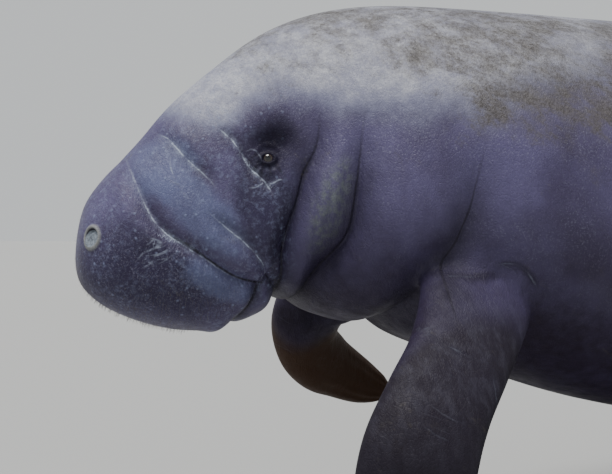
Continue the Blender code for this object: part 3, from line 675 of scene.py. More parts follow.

# %% [markdown]
# ## Where the colours go
# The finish needs to know where it is: pale lines lie in the creases, the muzzle is specked with hair pits,
# the back carries algae, the folds, the eye's hollow, the lower muzzle, the underside and the flippers get
# painted shade, the top gets a painted top light and the bulges of the muzzle a painted sheen. Each of these
# is a number kept at every corner of the skin. A line is kept as the signed distance to it, because a
# distance stays true between two corners, so the finish can draw a line much thinner than the mesh is fine.

# %% Lines that only colour shows: strength, fade in, fade out, places in the side view
EXTRA_PALE = (
    (0.38, 0.3, 0.3, ((0.064, -0.030), (0.071, -0.020), (0.087, -0.013), (0.104, -0.010))),
    (0.32, 0.3, 0.3, ((0.073, -0.009), (0.085, -0.008), (0.098, -0.007))),
    (0.24, 0.3, 0.3, ((0.075, -0.016), (0.085, -0.012), (0.095, -0.010))),
    (0.36, 0.3, 0.3, ((0.080, -0.025), (0.090, -0.021), (0.104, -0.016))),
    (0.22, 0.3, 0.3, ((0.077, -0.001), (0.086, -0.003), (0.095, -0.006))),
    (0.28, 0.3, 0.3, ((0.086, -0.034), (0.096, -0.028), (0.106, -0.021))),
    (0.22, 0.3, 0.3, ((0.070, -0.038), (0.078, -0.033), (0.084, -0.027))),
    (0.30, 0.3, 0.4, ((0.110, 0.070), (0.106, 0.088), (0.108, 0.104))),
    (0.60, 0.1, 0.4, ((0.218, 0.065), (0.225, 0.066), (0.232, 0.070), (0.238, 0.070))),
    (0.35, 0.1, 0.4, ((0.215, 0.067), (0.205, 0.061), (0.194, 0.060))),
    (0.25, 0.2, 0.3, ((0.187, 0.108), (0.194, 0.098), (0.203, 0.088))),
    (0.25, 0.3, 0.3, ((0.193, 0.104), (0.202, 0.108), (0.209, 0.104), (0.213, 0.093))),
)
# Lines of painted shade: the crease along the mouth and the fan of wrinkles under the eye.
EXTRA_SHADE_LINES = (
    (0.95, 0.3, 0.0, ((0.093, 0.019), (0.106, 0.001), (0.122, -0.008), (0.137, -0.019), (0.154, -0.031),
                      (0.169, -0.041), (0.186, -0.050), (0.204, -0.055), (0.221, -0.058))),
    (0.50, 0.2, 0.2, ((0.210, 0.104), (0.202, 0.098), (0.196, 0.090))),
    (0.50, 0.2, 0.2, ((0.212, 0.096), (0.206, 0.088), (0.203, 0.080))),
    (0.50, 0.2, 0.2, ((0.216, 0.092), (0.213, 0.082), (0.213, 0.074))),
    (0.50, 0.2, 0.2, ((0.222, 0.091), (0.222, 0.080), (0.224, 0.072))),
    (0.50, 0.2, 0.2, ((0.229, 0.093), (0.232, 0.084), (0.238, 0.076))),
)
LIMB_CREASES = (
    (0.90, 0.2, 0.2, ((0.396, -0.046), (0.412, -0.046), (0.441, -0.048), (0.460, -0.046), (0.486, -0.046))),
    (0.90, 0.2, 0.2, ((0.469, -0.036), (0.484, -0.032), (0.502, -0.036), (0.517, -0.048), (0.531, -0.066))),
    (0.80, 0.3, 0.3, ((0.352, -0.100), (0.365, -0.110), (0.374, -0.118), (0.387, -0.126), (0.403, -0.136))),
    (0.45, 0.3, 0.3, ((0.375, -0.099), (0.366, -0.103), (0.356, -0.108))),
    (0.45, 0.3, 0.3, ((0.422, -0.150), (0.420, -0.168), (0.424, -0.188))),
    (0.24, 0.3, 0.3, ((0.332, -0.170), (0.350, -0.186), (0.370, -0.196), (0.392, -0.209))),
    (0.18, 0.3, 0.3, ((0.322, -0.192), (0.340, -0.206), (0.362, -0.214))),
    (0.20, 0.3, 0.3, ((0.345, -0.132), (0.362, -0.146), (0.384, -0.154))),
)
LINE_REACH = 0.012

# %% Marks on the skin


def keep_mark(thing, name, values):
    mark = thing.data.attributes.new(name, "FLOAT", "POINT")
    mark.data.foreach_set("value", np.asarray(values, dtype=np.float32))


def corners_of(thing):
    places = np.empty(len(thing.data.vertices) * 3)
    thing.data.vertices.foreach_get("co", places)
    return places.reshape(-1, 3)


PALE_ENDS = {"over_muzzle": 0.60}


def fold_lines(of_pale):
    """The folds that show pale, or those that show dark, as rows like the extra lines."""
    rows = []
    for name, _, _, _, fade_in, fade_out, _, paleness, places in FOLDS:
        if (paleness > 0) == of_pale:
            fade_out = max(fade_out, PALE_ENDS.get(name, 0.02))
            rows.append((paleness if of_pale else 0.9, max(fade_in, 0.04), fade_out, places))
    return tuple(rows)


def nearest_line(seen, lines):
    """The signed gap from each point to the nearest line, and how strongly that line shows there."""
    gap = np.full(len(seen), 1.0)
    strength = np.zeros(len(seen))
    for weight, fade_in, fade_out, places in lines:
        near, share, side = from_line(seen, smooth_line(places, 5))
        shows = weight * faded(share, fade_in, fade_out)
        shows = shows * ease((LINE_REACH - near) / (0.5 * LINE_REACH))
        closer = near < np.abs(gap)
        gap = np.where(closer, np.where(side < 0, -near, near), gap)
        strength = np.where(closer, shows, strength)
    return np.clip(gap, -LINE_REACH, LINE_REACH), strength


def oval(seen, centre, half_long, half_wide, tilt):
    """1 at the middle of a tilted oval in the side view, 0 past its rim."""
    away = seen - np.array(centre)
    angle = math.radians(tilt)
    long_way = (away[:, 0] * math.cos(angle) + away[:, 1] * math.sin(angle)) / half_long
    wide_way = (away[:, 1] * math.cos(angle) - away[:, 0] * math.sin(angle)) / half_wide
    return ease(1.35 - np.hypot(long_way, wide_way))


def marks_of(place):
    seen = place[:, 1:]
    aft, up = seen[:, 0], seen[:, 1]
    out = np.abs(place[:, 0])
    limb = ease((out - 0.235 + 0.10 * ease((0.06 + up) / 0.06)) / 0.04)
    limb = limb * (aft < 0.75) * ease((-0.035 - up) / 0.05)
    pale_gap, pale = nearest_line(seen, fold_lines(True) + EXTRA_PALE)
    dark_gap, dark = nearest_line(seen, fold_lines(False) + EXTRA_SHADE_LINES)
    # Painted shade inside every fold, more where the fold is not pale, and in the hollows behind the cheek
    # and in front of the flipper's root.
    fold_shade = np.zeros(len(place))
    for _, _, width, _, fade_in, fade_out, _, paleness, places in FOLDS:
        near, share, _ = from_line(seen, smooth_line(places, 5))
        fade = faded(share, fade_in, fade_out)
        fold_shade = np.maximum(fold_shade, (0.75 - 0.55 * paleness) * fade * np.exp(-((near / (1.3 * width)) ** 2)))
    fold_shade = np.maximum(fold_shade, 0.85 * oval(seen, (0.237, -0.036), 0.046, 0.017, 100))
    fold_shade = np.maximum(fold_shade, 0.70 * oval(seen, (0.440, -0.090), 0.070, 0.040, 60) * (out < 0.23))
    limb_gap, limb_line = nearest_line(seen, LIMB_CREASES)
    lids = (left_side(place) - EYE_SPOT) @ np.stack([EYE_DOWN, EYE_AFT], axis=1)
    ring, long_way, wide_way = nostril_ring(place)
    at_nostril = (ring < 2.5) & (aft < 0.07)
    off_limb = 1 - limb
    # The crown and the back are painted paler and bluer towards the top, a painted top light that starts at
    # back_edge and fades in over back_fade.
    back_edge = 0.098 + 0.030 * np.exp(-(((aft - 0.24) / 0.05) ** 2))
    back_fade = 0.080 + 0.040 * ease((aft - 0.17) / 0.06) + 0.10 * ease((aft - 0.44) / 0.2)
    return {
        "pale_gap": pale_gap, "pale": pale * off_limb, "dark_gap": dark_gap, "dark": dark * off_limb,
        "fold_shade": fold_shade * off_limb,
        "limb_gap": limb_gap, "limb_line": limb_line * (out > 0.17),
        # Painted shade in the eye's hollow, and darker still under the brow and round the lids.
        "socket": oval(seen, (0.226, 0.112), 0.050, 0.040, 60),
        "shade_round_eye": np.maximum(oval(seen, (0.228, 0.122), 0.026, 0.018, 20),
                           np.exp(-((np.linalg.norm(lids, axis=1) / 0.016) ** 4)) * (aft < 0.26)),
        # Painted shade in the hollow between the cheek's lobe and the jowl.
        "cheek": oval(seen, (0.214, 0.040), 0.075, 0.040, 100),
        # Painted sheen where the cheek's lobe and the bridge of the muzzle bulge into the light.
        "lobe": oval(seen, (0.140, 0.030), 0.085, 0.034, -46),
        "bridge": oval(seen, (0.098, 0.085), 0.050, 0.045, 50),
        "roll": oval(seen, (0.289, 0.035), 0.070, 0.024, 74),
        # Painted shade on the lower muzzle, which faces down.
        "pad": oval(seen, (0.085, -0.045), 0.110, 0.070, 0)
               * ease((0.012 - (up + 0.62 * (aft - 0.085))) / 0.02),
        "back": np.clip((up - back_edge) / back_fade, 0, 1) * ease((aft - 0.02) / 0.16),
        "face": ease((0.262 - aft) / 0.03) * (1 - 0.85 * oval(seen, (0.226, 0.112), 0.050, 0.040, 60)),
        "algae": np.maximum(ease((up - 0.045) / 0.15) * ease((aft - 0.32) / 0.20),
                            0.72 * ease((up - 0.14) / 0.10) * ease((aft - 0.12) / 0.10)),
        # Painted shade under the jaw, the neck and the body, away from the flippers.
        "belly": ease((0.08 + 0.03 * ease((0.45 - aft) / 0.2) - up) / 0.22)
                 * ease((aft - 0.215) / 0.07) * off_limb,
        # Painted sheen on the lip below the crease.
        "lip": oval(seen, (0.165, -0.056), 0.060, 0.022, -26),
        # The flippers, the far one, and a darkening towards their lower ends that is partly their own tone
        # and partly painted shade.
        "limb": limb, "far": limb * (place[:, 0] < 0), "tip": limb * ease((-0.10 - up) / 0.22),
        "nostril_ring": np.where(at_nostril, ring, 2.5),
        "nostril_valve": np.where(at_nostril, np.hypot(long_way - VALVE_AT[0], wide_way - VALVE_AT[1]), 2.5),
    }


for name, values in marks_of(corners_of(hide) - SNOUT).items():
    keep_mark(hide, name, values)
print("marks:", [attribute.name for attribute in hide.data.attributes if attribute.data_type == "FLOAT"])

# %% [markdown]
# ## The finish of the hide
# Manatee hide is slate grey with a violet cast, dull and finely grained. It is built as a stack: slow
# mottling of two greys, a painted bluish sheen on the bulges of the muzzle, a painted top light on the crown
# and the back, a brown tint on the far flipper, painted shade on the lower muzzle, the underside, the
# flippers, round the eye and in and along the folds, thin pale creases, hair pits, and a film of olive algae
# in blots on the back. Each layer is one small function, so a layer can be changed alone.

# %% A small kit for node trees


class Tree:
    """Adds nodes to a material and wires them by name."""

    def __init__(self, name):
        self.material = bpy.data.materials.new(name)
        self.material.use_nodes = True
        self.nodes = self.material.node_tree.nodes
        self.links = self.material.node_tree.links
        self.shader = self.nodes["Principled BSDF"]
        self.spot = self.nodes.new("ShaderNodeTexCoord").outputs["Object"]

    def add(self, kind, inputs=(), **settings):
        node = self.nodes.new(kind)
        for key, value in settings.items():
            setattr(node, key, value)
        for key, value in dict(inputs).items():
            socket = node.inputs[key]
            if isinstance(value, bpy.types.NodeSocket):
                self.links.new(value, socket)
            else:
                socket.default_value = value
        return node

    def mark(self, name):
        return self.add("ShaderNodeAttribute", attribute_name=name).outputs["Fac"]

    def stretched(self, lengths, turn=(0.0, 0.0, 0.0)):
        """Places for a pattern drawn out along its own axes, after those are turned."""
        inputs = {"Vector": self.spot, "Scale": lengths, "Rotation": turn}
        return self.add("ShaderNodeMapping", inputs, vector_type="TEXTURE").outputs[0]

    def ragged(self, name, scale, raggedness):
        """A mark whose soft edge is broken up by noise."""
        edge = self.product(self.math("SUBTRACT", self.noise(scale, 5.0, 0.68), 0.5), raggedness)
        return self.ramp(self.math("ADD", self.mark(name), edge), 0.12, 0.88)

    def noise(self, scale, detail=3.0, rough=0.55, vector=None, distortion=0.0):
        node = self.add("ShaderNodeTexNoise", {"Vector": vector or self.spot, "Scale": scale,
                                               "Detail": detail, "Roughness": rough,
                                               "Distortion": distortion})
        return node.outputs["Fac"]

    def cells(self, scale, vector=None, feature="F1", output="Distance"):
        node = self.add("ShaderNodeTexVoronoi", {"Vector": vector or self.spot, "Scale": scale},
                        feature=feature)
        return node.outputs[output]

    def ramp(self, value, low, high, to_low=0.0, to_high=1.0):
        node = self.add("ShaderNodeMapRange", {"Value": value, "From Min": low, "From Max": high,
                                               "To Min": to_low, "To Max": to_high})
        node.interpolation_type = "SMOOTHSTEP"
        return node.outputs["Result"]

    def math(self, operation, first, second=0.0):
        return self.add("ShaderNodeMath", {0: first, 1: second}, operation=operation).outputs[0]

    def product(self, *factors):
        made = factors[0]
        for factor in factors[1:]:
            made = self.math("MULTIPLY", made, factor)
        return made

    def blend(self, share, first, second):
        node = self.add("ShaderNodeMix", data_type="RGBA")
        for socket, value in ((node.inputs[0], share), (node.inputs[6], first), (node.inputs[7], second)):
            if isinstance(value, bpy.types.NodeSocket):
                self.links.new(value, socket)
            elif isinstance(value, tuple):
                socket.default_value = (*value, 1.0)
            else:
                socket.default_value = value
        return node.outputs[2]

    def bump(self, height, strength, distance, normal=None):
        inputs = {"Height": height, "Strength": strength, "Distance": distance}
        if normal is not None:
            inputs["Normal"] = normal
        return self.add("ShaderNodeBump", inputs).outputs[0]

    def finish(self, colour=None, roughness=None, normal=None):
        for key, socket in (("Base Color", colour), ("Roughness", roughness), ("Normal", normal)):
            if socket is not None:
                self.links.new(socket, self.shader.inputs[key])
        return self.material


# %% Colours of the hide, as linear red, green and blue
SLATE = (0.090, 0.077, 0.166)
SLATE_DEEP = (0.046, 0.036, 0.082)
# Painted shade for the lower muzzle and the hollow between the cheek's lobe and the jowl.
PAINTED_DEEP_SHADE = (0.010, 0.006, 0.028)
# A painted bluish sheen.
PAINTED_SHEEN_BLUE = (0.112, 0.130, 0.250)
# A painted top light in two steps: a bluish mid tone, then a pale grey.
TOP_LIGHT_MID = (0.170, 0.176, 0.265)
TOP_LIGHT_PALE = (0.520, 0.525, 0.560)
ROLL_GREY = (0.150, 0.166, 0.180)
SPECK_PALE = (0.270, 0.275, 0.370)
# Painted shade for the folds, the fold lines, the flipper's creases and the nostril's pit.
PAINTED_FOLD_SHADE = (0.010, 0.007, 0.018)
# Painted shade for the eye's hollow, and a darker one for under the brow and round the lids.
EYE_HOLLOW_SHADE = (0.014, 0.009, 0.032)
BROW_AND_LID_SHADE = (0.006, 0.004, 0.014)
CREASE_PALE = (0.460, 0.520, 0.640)
PIT_PALE = (0.250, 0.295, 0.450)
ALGAE_OLIVE = (0.105, 0.094, 0.080)
ALGAE_BROWN = (0.042, 0.035, 0.032)
# A painted highlight for the nostril's raised rim.
RIM_HIGHLIGHT = (0.330, 0.340, 0.290)
VALVE_GREY = (0.260, 0.300, 0.350)
VALVE_DEEP = (0.120, 0.140, 0.170)
# The flippers' grey darkened by painted shade, and darker still at the tips, partly their own tone and partly
# painted shade.
LIMB_GREY_SHADED = (0.018, 0.014, 0.021)
TIP_DARK_AND_SHADED = (0.008, 0.006, 0.009)
FAR_BROWN = (0.050, 0.025, 0.013)
# Painted shade for the underside.
PAINTED_UNDERSIDE_SHADE = (0.014, 0.009, 0.016)

# %% The layers of colour


SLANT = (math.radians(-38), 0.0, 0.0)


def base_greys(tree):
    slow = tree.ramp(tree.noise(7.0, 4.0, 0.6, distortion=0.3), 0.32, 0.66)
    colour = tree.blend(slow, SLATE_DEEP, SLATE)
    cool = tree.ramp(tree.noise(11.0, 3.0, 0.5), 0.30, 0.70, 0.55, 1.0)
    # The lower muzzle is painted dark: a painted shade on skin that faces down.
    colour = tree.blend(tree.product(tree.mark("pad"), 0.82), colour, PAINTED_DEEP_SHADE)
    # Painted sheen: bluer where the lip, the cheek's lobe and the bridge of the muzzle bulge.
    colour = tree.blend(tree.product(tree.ragged("lip", 60.0, 1.2), cool, 0.60), colour, PAINTED_SHEEN_BLUE)
    colour = tree.blend(tree.product(tree.ragged("lobe", 45.0, 1.1), cool, 0.66), colour, PAINTED_SHEEN_BLUE)
    colour = tree.blend(tree.product(tree.ragged("bridge", 45.0, 1.0), cool, 0.74), colour, PAINTED_SHEEN_BLUE)
    # Painted top light: the crown and the back turn paler and bluer towards the top, broken into patches.
    slanted = tree.stretched((1.0, 2.0, 1.0), SLANT)
    wear_and_lit_patches = tree.ramp(tree.noise(30.0, 9.0, 0.82, vector=slanted), 0.36, 0.62, 0.28, 1.0)
    wear_and_lit_patches = tree.product(wear_and_lit_patches, tree.ramp(tree.noise(240.0, 5.0, 0.78), 0.38, 0.60, 0.55, 1.0))
    back = tree.ragged("back", 16.0, 0.55)
    colour = tree.blend(tree.product(tree.ramp(back, 0.0, 0.65), 0.90), colour, TOP_LIGHT_MID)
    colour = tree.blend(tree.product(tree.ramp(back, 0.40, 1.20), wear_and_lit_patches), colour, TOP_LIGHT_PALE)
    mottle = tree.ramp(tree.noise(95.0, 6.0, 0.78), 0.40, 0.62, 0.10, 1.0)
    return tree.blend(tree.product(tree.ragged("roll", 40.0, 0.9), mottle, 0.92), colour, ROLL_GREY)


def specks(tree, colour):
    fine = tree.ramp(tree.noise(420.0, 3.0, 0.7), 0.50, 0.74)
    patchy = tree.ramp(tree.noise(16.0, 4.0, 0.6), 0.35, 0.68, 0.18, 0.85)
    colour = tree.blend(tree.product(fine, patchy, 0.50), colour, SPECK_PALE)
    scratches = tree.noise(60.0, 3.0, 0.7, vector=tree.stretched((0.15, 0.15, 6.0), (0.5, 0.0, 0.0)))
    scratches = tree.product(tree.ramp(scratches, 0.66, 0.72), patchy)
    colour = tree.blend(tree.product(scratches, 0.22), colour, SPECK_PALE)
    few = tree.product(tree.ramp(tree.cells(95.0), 0.09, 0.04),
                       tree.ramp(tree.cells(95.0, output="Color"), 0.78, 0.90))
    return tree.blend(tree.product(few, 0.28), colour, SPECK_PALE)


def line_shows(tree, gap, strength, half_width, wobble):
    """Draws the nearest line at a width, with the wander and the breaks of a natural crease."""
    drift = tree.math("MULTIPLY", tree.math("SUBTRACT", tree.noise(130.0, 4.0, 0.6), 0.5), wobble)
    gap = tree.math("ABSOLUTE", tree.math("ADD", tree.mark(gap), drift))
    return tree.product(tree.ramp(gap, half_width, half_width * 0.2), tree.mark(strength))


def painted_shade(tree, colour):
    # All painted shade: under the jaw and the body, between the cheek's lobe and the jowl, in the eye's
    # hollow, under the brow and round the lids, inside the folds and along the fold lines.
    grain = tree.ramp(tree.noise(60.0, 3.0, 0.6), 0.2, 0.8, 0.75, 1.0)
    colour = tree.blend(tree.product(tree.mark("belly"), grain, 0.92), colour, PAINTED_UNDERSIDE_SHADE)
    colour = tree.blend(tree.product(tree.ragged("cheek", 40.0, 0.6), 0.75), colour, PAINTED_DEEP_SHADE)
    colour = tree.blend(tree.product(tree.ragged("socket", 50.0, 0.7), grain, 0.88), colour, EYE_HOLLOW_SHADE)
    colour = tree.blend(tree.product(tree.mark("shade_round_eye"), 0.95), colour, BROW_AND_LID_SHADE)
    colour = tree.blend(tree.product(tree.mark("fold_shade"), grain), colour, PAINTED_FOLD_SHADE)
    return tree.blend(line_shows(tree, "dark_gap", "dark", 0.0022, 0.0014), colour, PAINTED_FOLD_SHADE)


def pale_creases(tree, colour):
    broken = tree.ramp(tree.noise(80.0, 4.0, 0.7), 0.36, 0.62, 0.12, 1.0)
    crisp = tree.product(line_shows(tree, "pale_gap", "pale", 0.0015, 0.0024), broken, 0.95)
    strong = tree.ramp(tree.mark("pale"), 0.40, 0.70)
    soft = tree.product(line_shows(tree, "pale_gap", "pale", 0.0065, 0.0060), broken, strong, 0.22)
    colour = tree.blend(tree.math("MAXIMUM", crisp, soft), colour, CREASE_PALE)
    limb_dark = line_shows(tree, "limb_gap", "limb_line", 0.0065, 0.0040)
    limb_pale = line_shows(tree, "limb_gap", "limb_line", 0.0014, 0.0040)
    rubbed = tree.ramp(tree.noise(30.0, 2.0, 0.5), 0.40, 0.65)
    # Painted shade along the flipper's creases.
    colour = tree.blend(tree.product(limb_dark, 0.60), colour, PAINTED_FOLD_SHADE)
    colour = tree.blend(tree.product(limb_pale, rubbed, 0.14), colour, CREASE_PALE)
    return colour, tree.math("MAXIMUM", crisp, tree.product(limb_dark, 0.8))


DOTS_EACH_METRE = 85.0


def hair_pits(tree, colour):
    """Soft pale dots where hairs grow, and a cool grain over the whole face."""
    grain = tree.ramp(tree.noise(150.0, 6.0, 0.76), 0.46, 0.66)
    patchy = tree.ramp(tree.noise(14.0, 3.0, 0.6), 0.35, 0.65, 0.25, 1.0)
    grain = tree.product(grain, patchy, tree.mark("face"))
    colour = tree.blend(tree.product(grain, 0.26), colour, PIT_PALE)
    dots = tree.ramp(tree.cells(DOTS_EACH_METRE), 0.22, 0.08)
    kept = tree.ramp(tree.cells(DOTS_EACH_METRE, output="Color"), 0.25, 0.65)
    spots = tree.product(dots, kept, tree.mark("face"))
    return tree.blend(tree.product(spots, 0.38), colour, PIT_PALE), spots


def nostrils(tree, colour):
    ring = tree.mark("nostril_ring")
    valve = tree.mark("nostril_valve")
    grain = tree.ramp(tree.noise(500.0, 3.0, 0.6), 0.3, 0.7, 0.7, 1.0)
    mottled = tree.ramp(tree.noise(260.0, 4.0, 0.7), 0.35, 0.65)
    # A painted highlight on the raised rim, and painted shade in the pit round the valve.
    colour = tree.blend(tree.product(tree.ramp(ring, 1.40, 1.10), grain, 0.60), colour, RIM_HIGHLIGHT)
    colour = tree.blend(tree.ramp(ring, 0.94, 0.84), colour, PAINTED_FOLD_SHADE)
    skin = tree.blend(mottled, VALVE_DEEP, VALVE_GREY)
    return tree.blend(tree.product(tree.ramp(valve, 0.90, 0.78), grain), colour, skin)


def limbs(tree, colour):
    wear_and_lit_patches = tree.ramp(tree.noise(70.0, 6.0, 0.72, vector=tree.stretched((1.0, 1.0, 2.6))), 0.40, 0.70)
    # The flippers are painted near black: their grey is darkened by painted shade where they hang below the
    # body, and darker still towards the tips, partly their own tone and partly painted shade.
    leather = tree.blend(tree.product(wear_and_lit_patches, 0.08), LIMB_GREY_SHADED, SPECK_PALE)
    leather = tree.blend(tree.mark("tip"), leather, TIP_DARK_AND_SHADED)
    colour = tree.blend(tree.product(tree.mark("limb"), 0.96), colour, leather)
    return tree.blend(tree.product(tree.mark("far"), 0.90), colour, FAR_BROWN)


def algae_film(tree, colour):
    """Olive blots that thin out towards the film's edge, with a brown bloom of dots on the thickest."""
    slanted = tree.stretched((1.0, 2.3, 1.0), SLANT)
    film = tree.ragged("algae", 6.5, 1.7)
    thin = tree.math("MULTIPLY", tree.math("SUBTRACT", film, 1.0), 0.22)
    clumps = tree.ramp(tree.noise(11.0, 6.0, 0.66, vector=slanted), 0.38, 0.60, 0.30, 1.0)
    blots = tree.ramp(tree.math("ADD", tree.noise(42.0, 9.0, 0.80, vector=slanted), thin), 0.35, 0.56)
    dots = tree.ramp(tree.noise(230.0, 6.0, 0.78), 0.44, 0.62)
    colour = tree.blend(tree.product(film, clumps, 0.40), colour, ALGAE_OLIVE)
    colour = tree.blend(tree.product(blots, clumps, 0.72), colour, ALGAE_OLIVE)
    grown = tree.product(blots, clumps, dots)
    return tree.blend(tree.product(grown, 0.75), colour, ALGAE_BROWN), grown


# %% The hide's material


def hide_relief(tree, crisp, spots, grown):
    """Soft unevenness, wrinkles that run across the body, a fine mesh of creases and the grain."""
    uneven = tree.noise(15.0, 3.0, 0.5)
    upright = tree.stretched((1.2, 0.5, 1.9), (0.12, 0.0, 0.0))
    wrinkles = tree.noise(70.0, 5.0, 0.66, vector=upright, distortion=0.7)
    scales = tree.cells(230.0, vector=tree.stretched((1.0, 0.65, 1.1)), feature="DISTANCE_TO_EDGE")
    mesh = tree.ramp(scales, 0.0, 0.2)
    grain = tree.noise(800.0, 2.0, 0.6)
    normal = tree.bump(uneven, 0.40, 0.0060)
    normal = tree.bump(wrinkles, 0.80, 0.0020, normal)
    normal = tree.bump(mesh, 0.45, 0.0005, normal)
    normal = tree.bump(grain, 0.35, 0.0003, normal)
    normal = tree.bump(crisp, -0.50, 0.0010, normal)
    normal = tree.bump(spots, 0.40, 0.0010, normal)
    return tree.bump(grown, 0.30, 0.0006, normal)


def hide_material():
    tree = Tree("manatee_hide")
    colour = specks(tree, base_greys(tree))
    colour = limbs(tree, colour)
    colour = painted_shade(tree, colour)
    colour, spots = hair_pits(tree, colour)
    colour, crisp = pale_creases(tree, colour)
    colour = nostrils(tree, colour)
    colour, grown = algae_film(tree, colour)
    roughness = tree.ramp(tree.noise(30.0, 4.0, 0.6), 0.2, 0.8, 0.42, 0.62)
    dull = tree.math("MAXIMUM", tree.mark("belly"), tree.mark("limb"))
    dull = tree.math("MAXIMUM", dull, tree.mark("shade_round_eye"))
    wet = tree.ramp(dull, 0.0, 1.0, 0.30, 0.14)
    tree.links.new(wet, tree.shader.inputs["Specular IOR Level"])
    return tree.finish(colour, roughness, hide_relief(tree, crisp, spots, grown))


hide.data.materials.clear()
hide.data.materials.append(hide_material())
hide.data.polygons.foreach_set("material_index", [0] * len(hide.data.polygons))
print("hide finish:", len(hide.data.materials[0].node_tree.nodes), "nodes")

# %% [markdown]
# ## Eyes
# A manatee's eye is a small dark ball, almost all pupil and brown iris, behind a wet surface. The ball is
# turned from rings about the line it looks along, and each ring keeps how far it is from the pupil, so the
# material can colour pupil, iris and white by that one number.

# %% The eyeballs
BALL_RINGS = 40
BALL_SIDES = 56
BALL_FRONT = 1.035
BALL_REAR = 0.985


def skin_height(place):
    return float(relief(place[None, :])[0])


def eyeball(name, sign):
    mirror = np.array([sign, 1, 1])
    centre = (EYE_SPOT + EYE_OUT * (skin_height(EYE_SPOT) - EYE_SUNK)) * mirror + SNOUT
    axis, down, aft = EYE_OUT * mirror, EYE_DOWN * mirror, EYE_AFT * mirror
    angle = np.linspace(0, math.pi, BALL_RINGS + 1)[1:-1]
    turn = np.linspace(0, 2 * math.pi, BALL_SIDES, endpoint=False)
    bulge = EYE_RADIUS * (BALL_REAR + 0.05 * np.exp(-((angle / 0.55) ** 4)))
    shape = bmesh.new()
    rings = []
    for a, reach in zip(angle, bulge):
        rings.append([shape.verts.new(centre + reach * (math.cos(a) * axis + math.sin(a) *
                      (math.cos(t) * down + math.sin(t) * aft))) for t in turn])
    front = shape.verts.new(centre + axis * EYE_RADIUS * BALL_FRONT)
    rear = shape.verts.new(centre - axis * EYE_RADIUS * BALL_REAR)
    for near, far in zip(rings, rings[1:]):
        for k in range(BALL_SIDES):
            shape.faces.new((near[k], near[k - 1], far[k - 1], far[k]))
    for k in range(BALL_SIDES):
        shape.faces.new((front, rings[0][k - 1], rings[0][k]))
        shape.faces.new((rear, rings[-1][k], rings[-1][k - 1]))
    bmesh.ops.recalc_face_normals(shape, faces=shape.faces)
    thing = add_mesh(name, shape)
    away = corners_of(thing) - centre
    facing = np.clip(away @ axis / np.linalg.norm(away, axis=1), -1, 1)
    keep_mark(thing, "from_pupil", np.arccos(facing) / math.pi)
    thing.data.shade_smooth()
    return thing


def eye_material():
    tree = Tree("wet_eye")
    gaze = tree.mark("from_pupil")
    flecks = tree.noise(900.0, 3.0, 0.6)
    iris = tree.blend(tree.ramp(flecks, 0.35, 0.65), (0.016, 0.010, 0.008), (0.050, 0.032, 0.024))
    colour = tree.blend(tree.ramp(gaze, 0.085, 0.105), (0.003, 0.003, 0.004), iris)
    colour = tree.blend(tree.ramp(gaze, 0.20, 0.25), colour, (0.090, 0.070, 0.066))
    tree.shader.inputs["Roughness"].default_value = 0.09
    tree.shader.inputs["Coat Weight"].default_value = 0.6
    tree.shader.inputs["Coat Roughness"].default_value = 0.03
    return tree.finish(colour)


EYE_FINISH = eye_material()
eyes = {}
for side, sign in (("left", 1), ("right", -1)):
    eyes[side] = eyeball("eyeball_" + side, sign)
    eyes[side].data.materials.append(EYE_FINISH)
    print(eyes[side].name, len(eyes[side].data.polygons), "faces")

# %% [markdown]
# ## Nails
# A West Indian manatee has three or four small flat nails on the back of each flipper's rim, and this one has
# four. Each is a low dome with a flat underside, longer than it is broad, sunk a little in the skin. They are
# separate pieces, as horn is another material than hide. They are half as large as the solids' nails, and
# they sit in other places on the blade.

# %% The nails: half the width, half the length, how high they stand, and how they spread over the blade
NAILS = 4
NAIL_WIDE = 0.0040
NAIL_LONG = 0.0066
NAIL_THICK = 0.0032
NAIL_SPREAD = 0.66
NAIL_EVEN = 0.75
NAIL_STEPS = 8
NAIL_SIDES = 28
NAIL_SUNK_TO = -40


def nail_place(frames, k):
    """The middle of a nail and its three directions: across, ahead and out of the skin."""
    middle, ahead, across, outward, half, thick = frames
    share = (k + 0.5) / NAILS * 2 - 1
    row = len(middle) - 1 - int(round((2.0 + 2.0 * share**2) / 2.0 * RINGS_EACH / 2))
    lean = NAIL_SPREAD * math.copysign(abs(share) ** NAIL_EVEN, share)
    centre = middle[row] + across[row] * half[row] * lean
    centre = centre + outward[row] * thick[row] * math.sqrt(1 - lean**2)
    out = outward[row] * math.sqrt(1 - lean**2) / thick[row] + across[row] * lean / half[row]
    out = out / np.linalg.norm(out)
    fan = ahead[row] + across[row] * 0.5 * share
    fan = fan - out * (fan @ out)
    fan = fan / np.linalg.norm(fan)
    return centre, np.cross(out, fan), fan, out


def add_nail(shape, centre, wide_way, long_way, out):
    rings = []
    for step in range(NAIL_STEPS + 1):
        tilt = math.radians(NAIL_SUNK_TO + (90 - NAIL_SUNK_TO) * step / NAIL_STEPS)
        ring = []
        for k in range(NAIL_SIDES):
            turn = 2 * math.pi * k / NAIL_SIDES
            x = signed_power(math.cos(turn), 0.8) * math.cos(tilt) * NAIL_WIDE
            y = signed_power(math.sin(turn), 0.9) * math.cos(tilt) * NAIL_LONG
            z = math.sin(tilt) * NAIL_THICK + 0.0006 * max(0.0, math.sin(turn)) * math.cos(tilt)
            ring.append(shape.verts.new(centre + x * wide_way + y * long_way + z * out))
        rings.append(ring)
    for near, far in zip(rings, rings[1:]):
        for k in range(NAIL_SIDES):
            shape.faces.new((near[k], near[k - 1], far[k - 1], far[k]))
    shape.faces.new(rings[0])


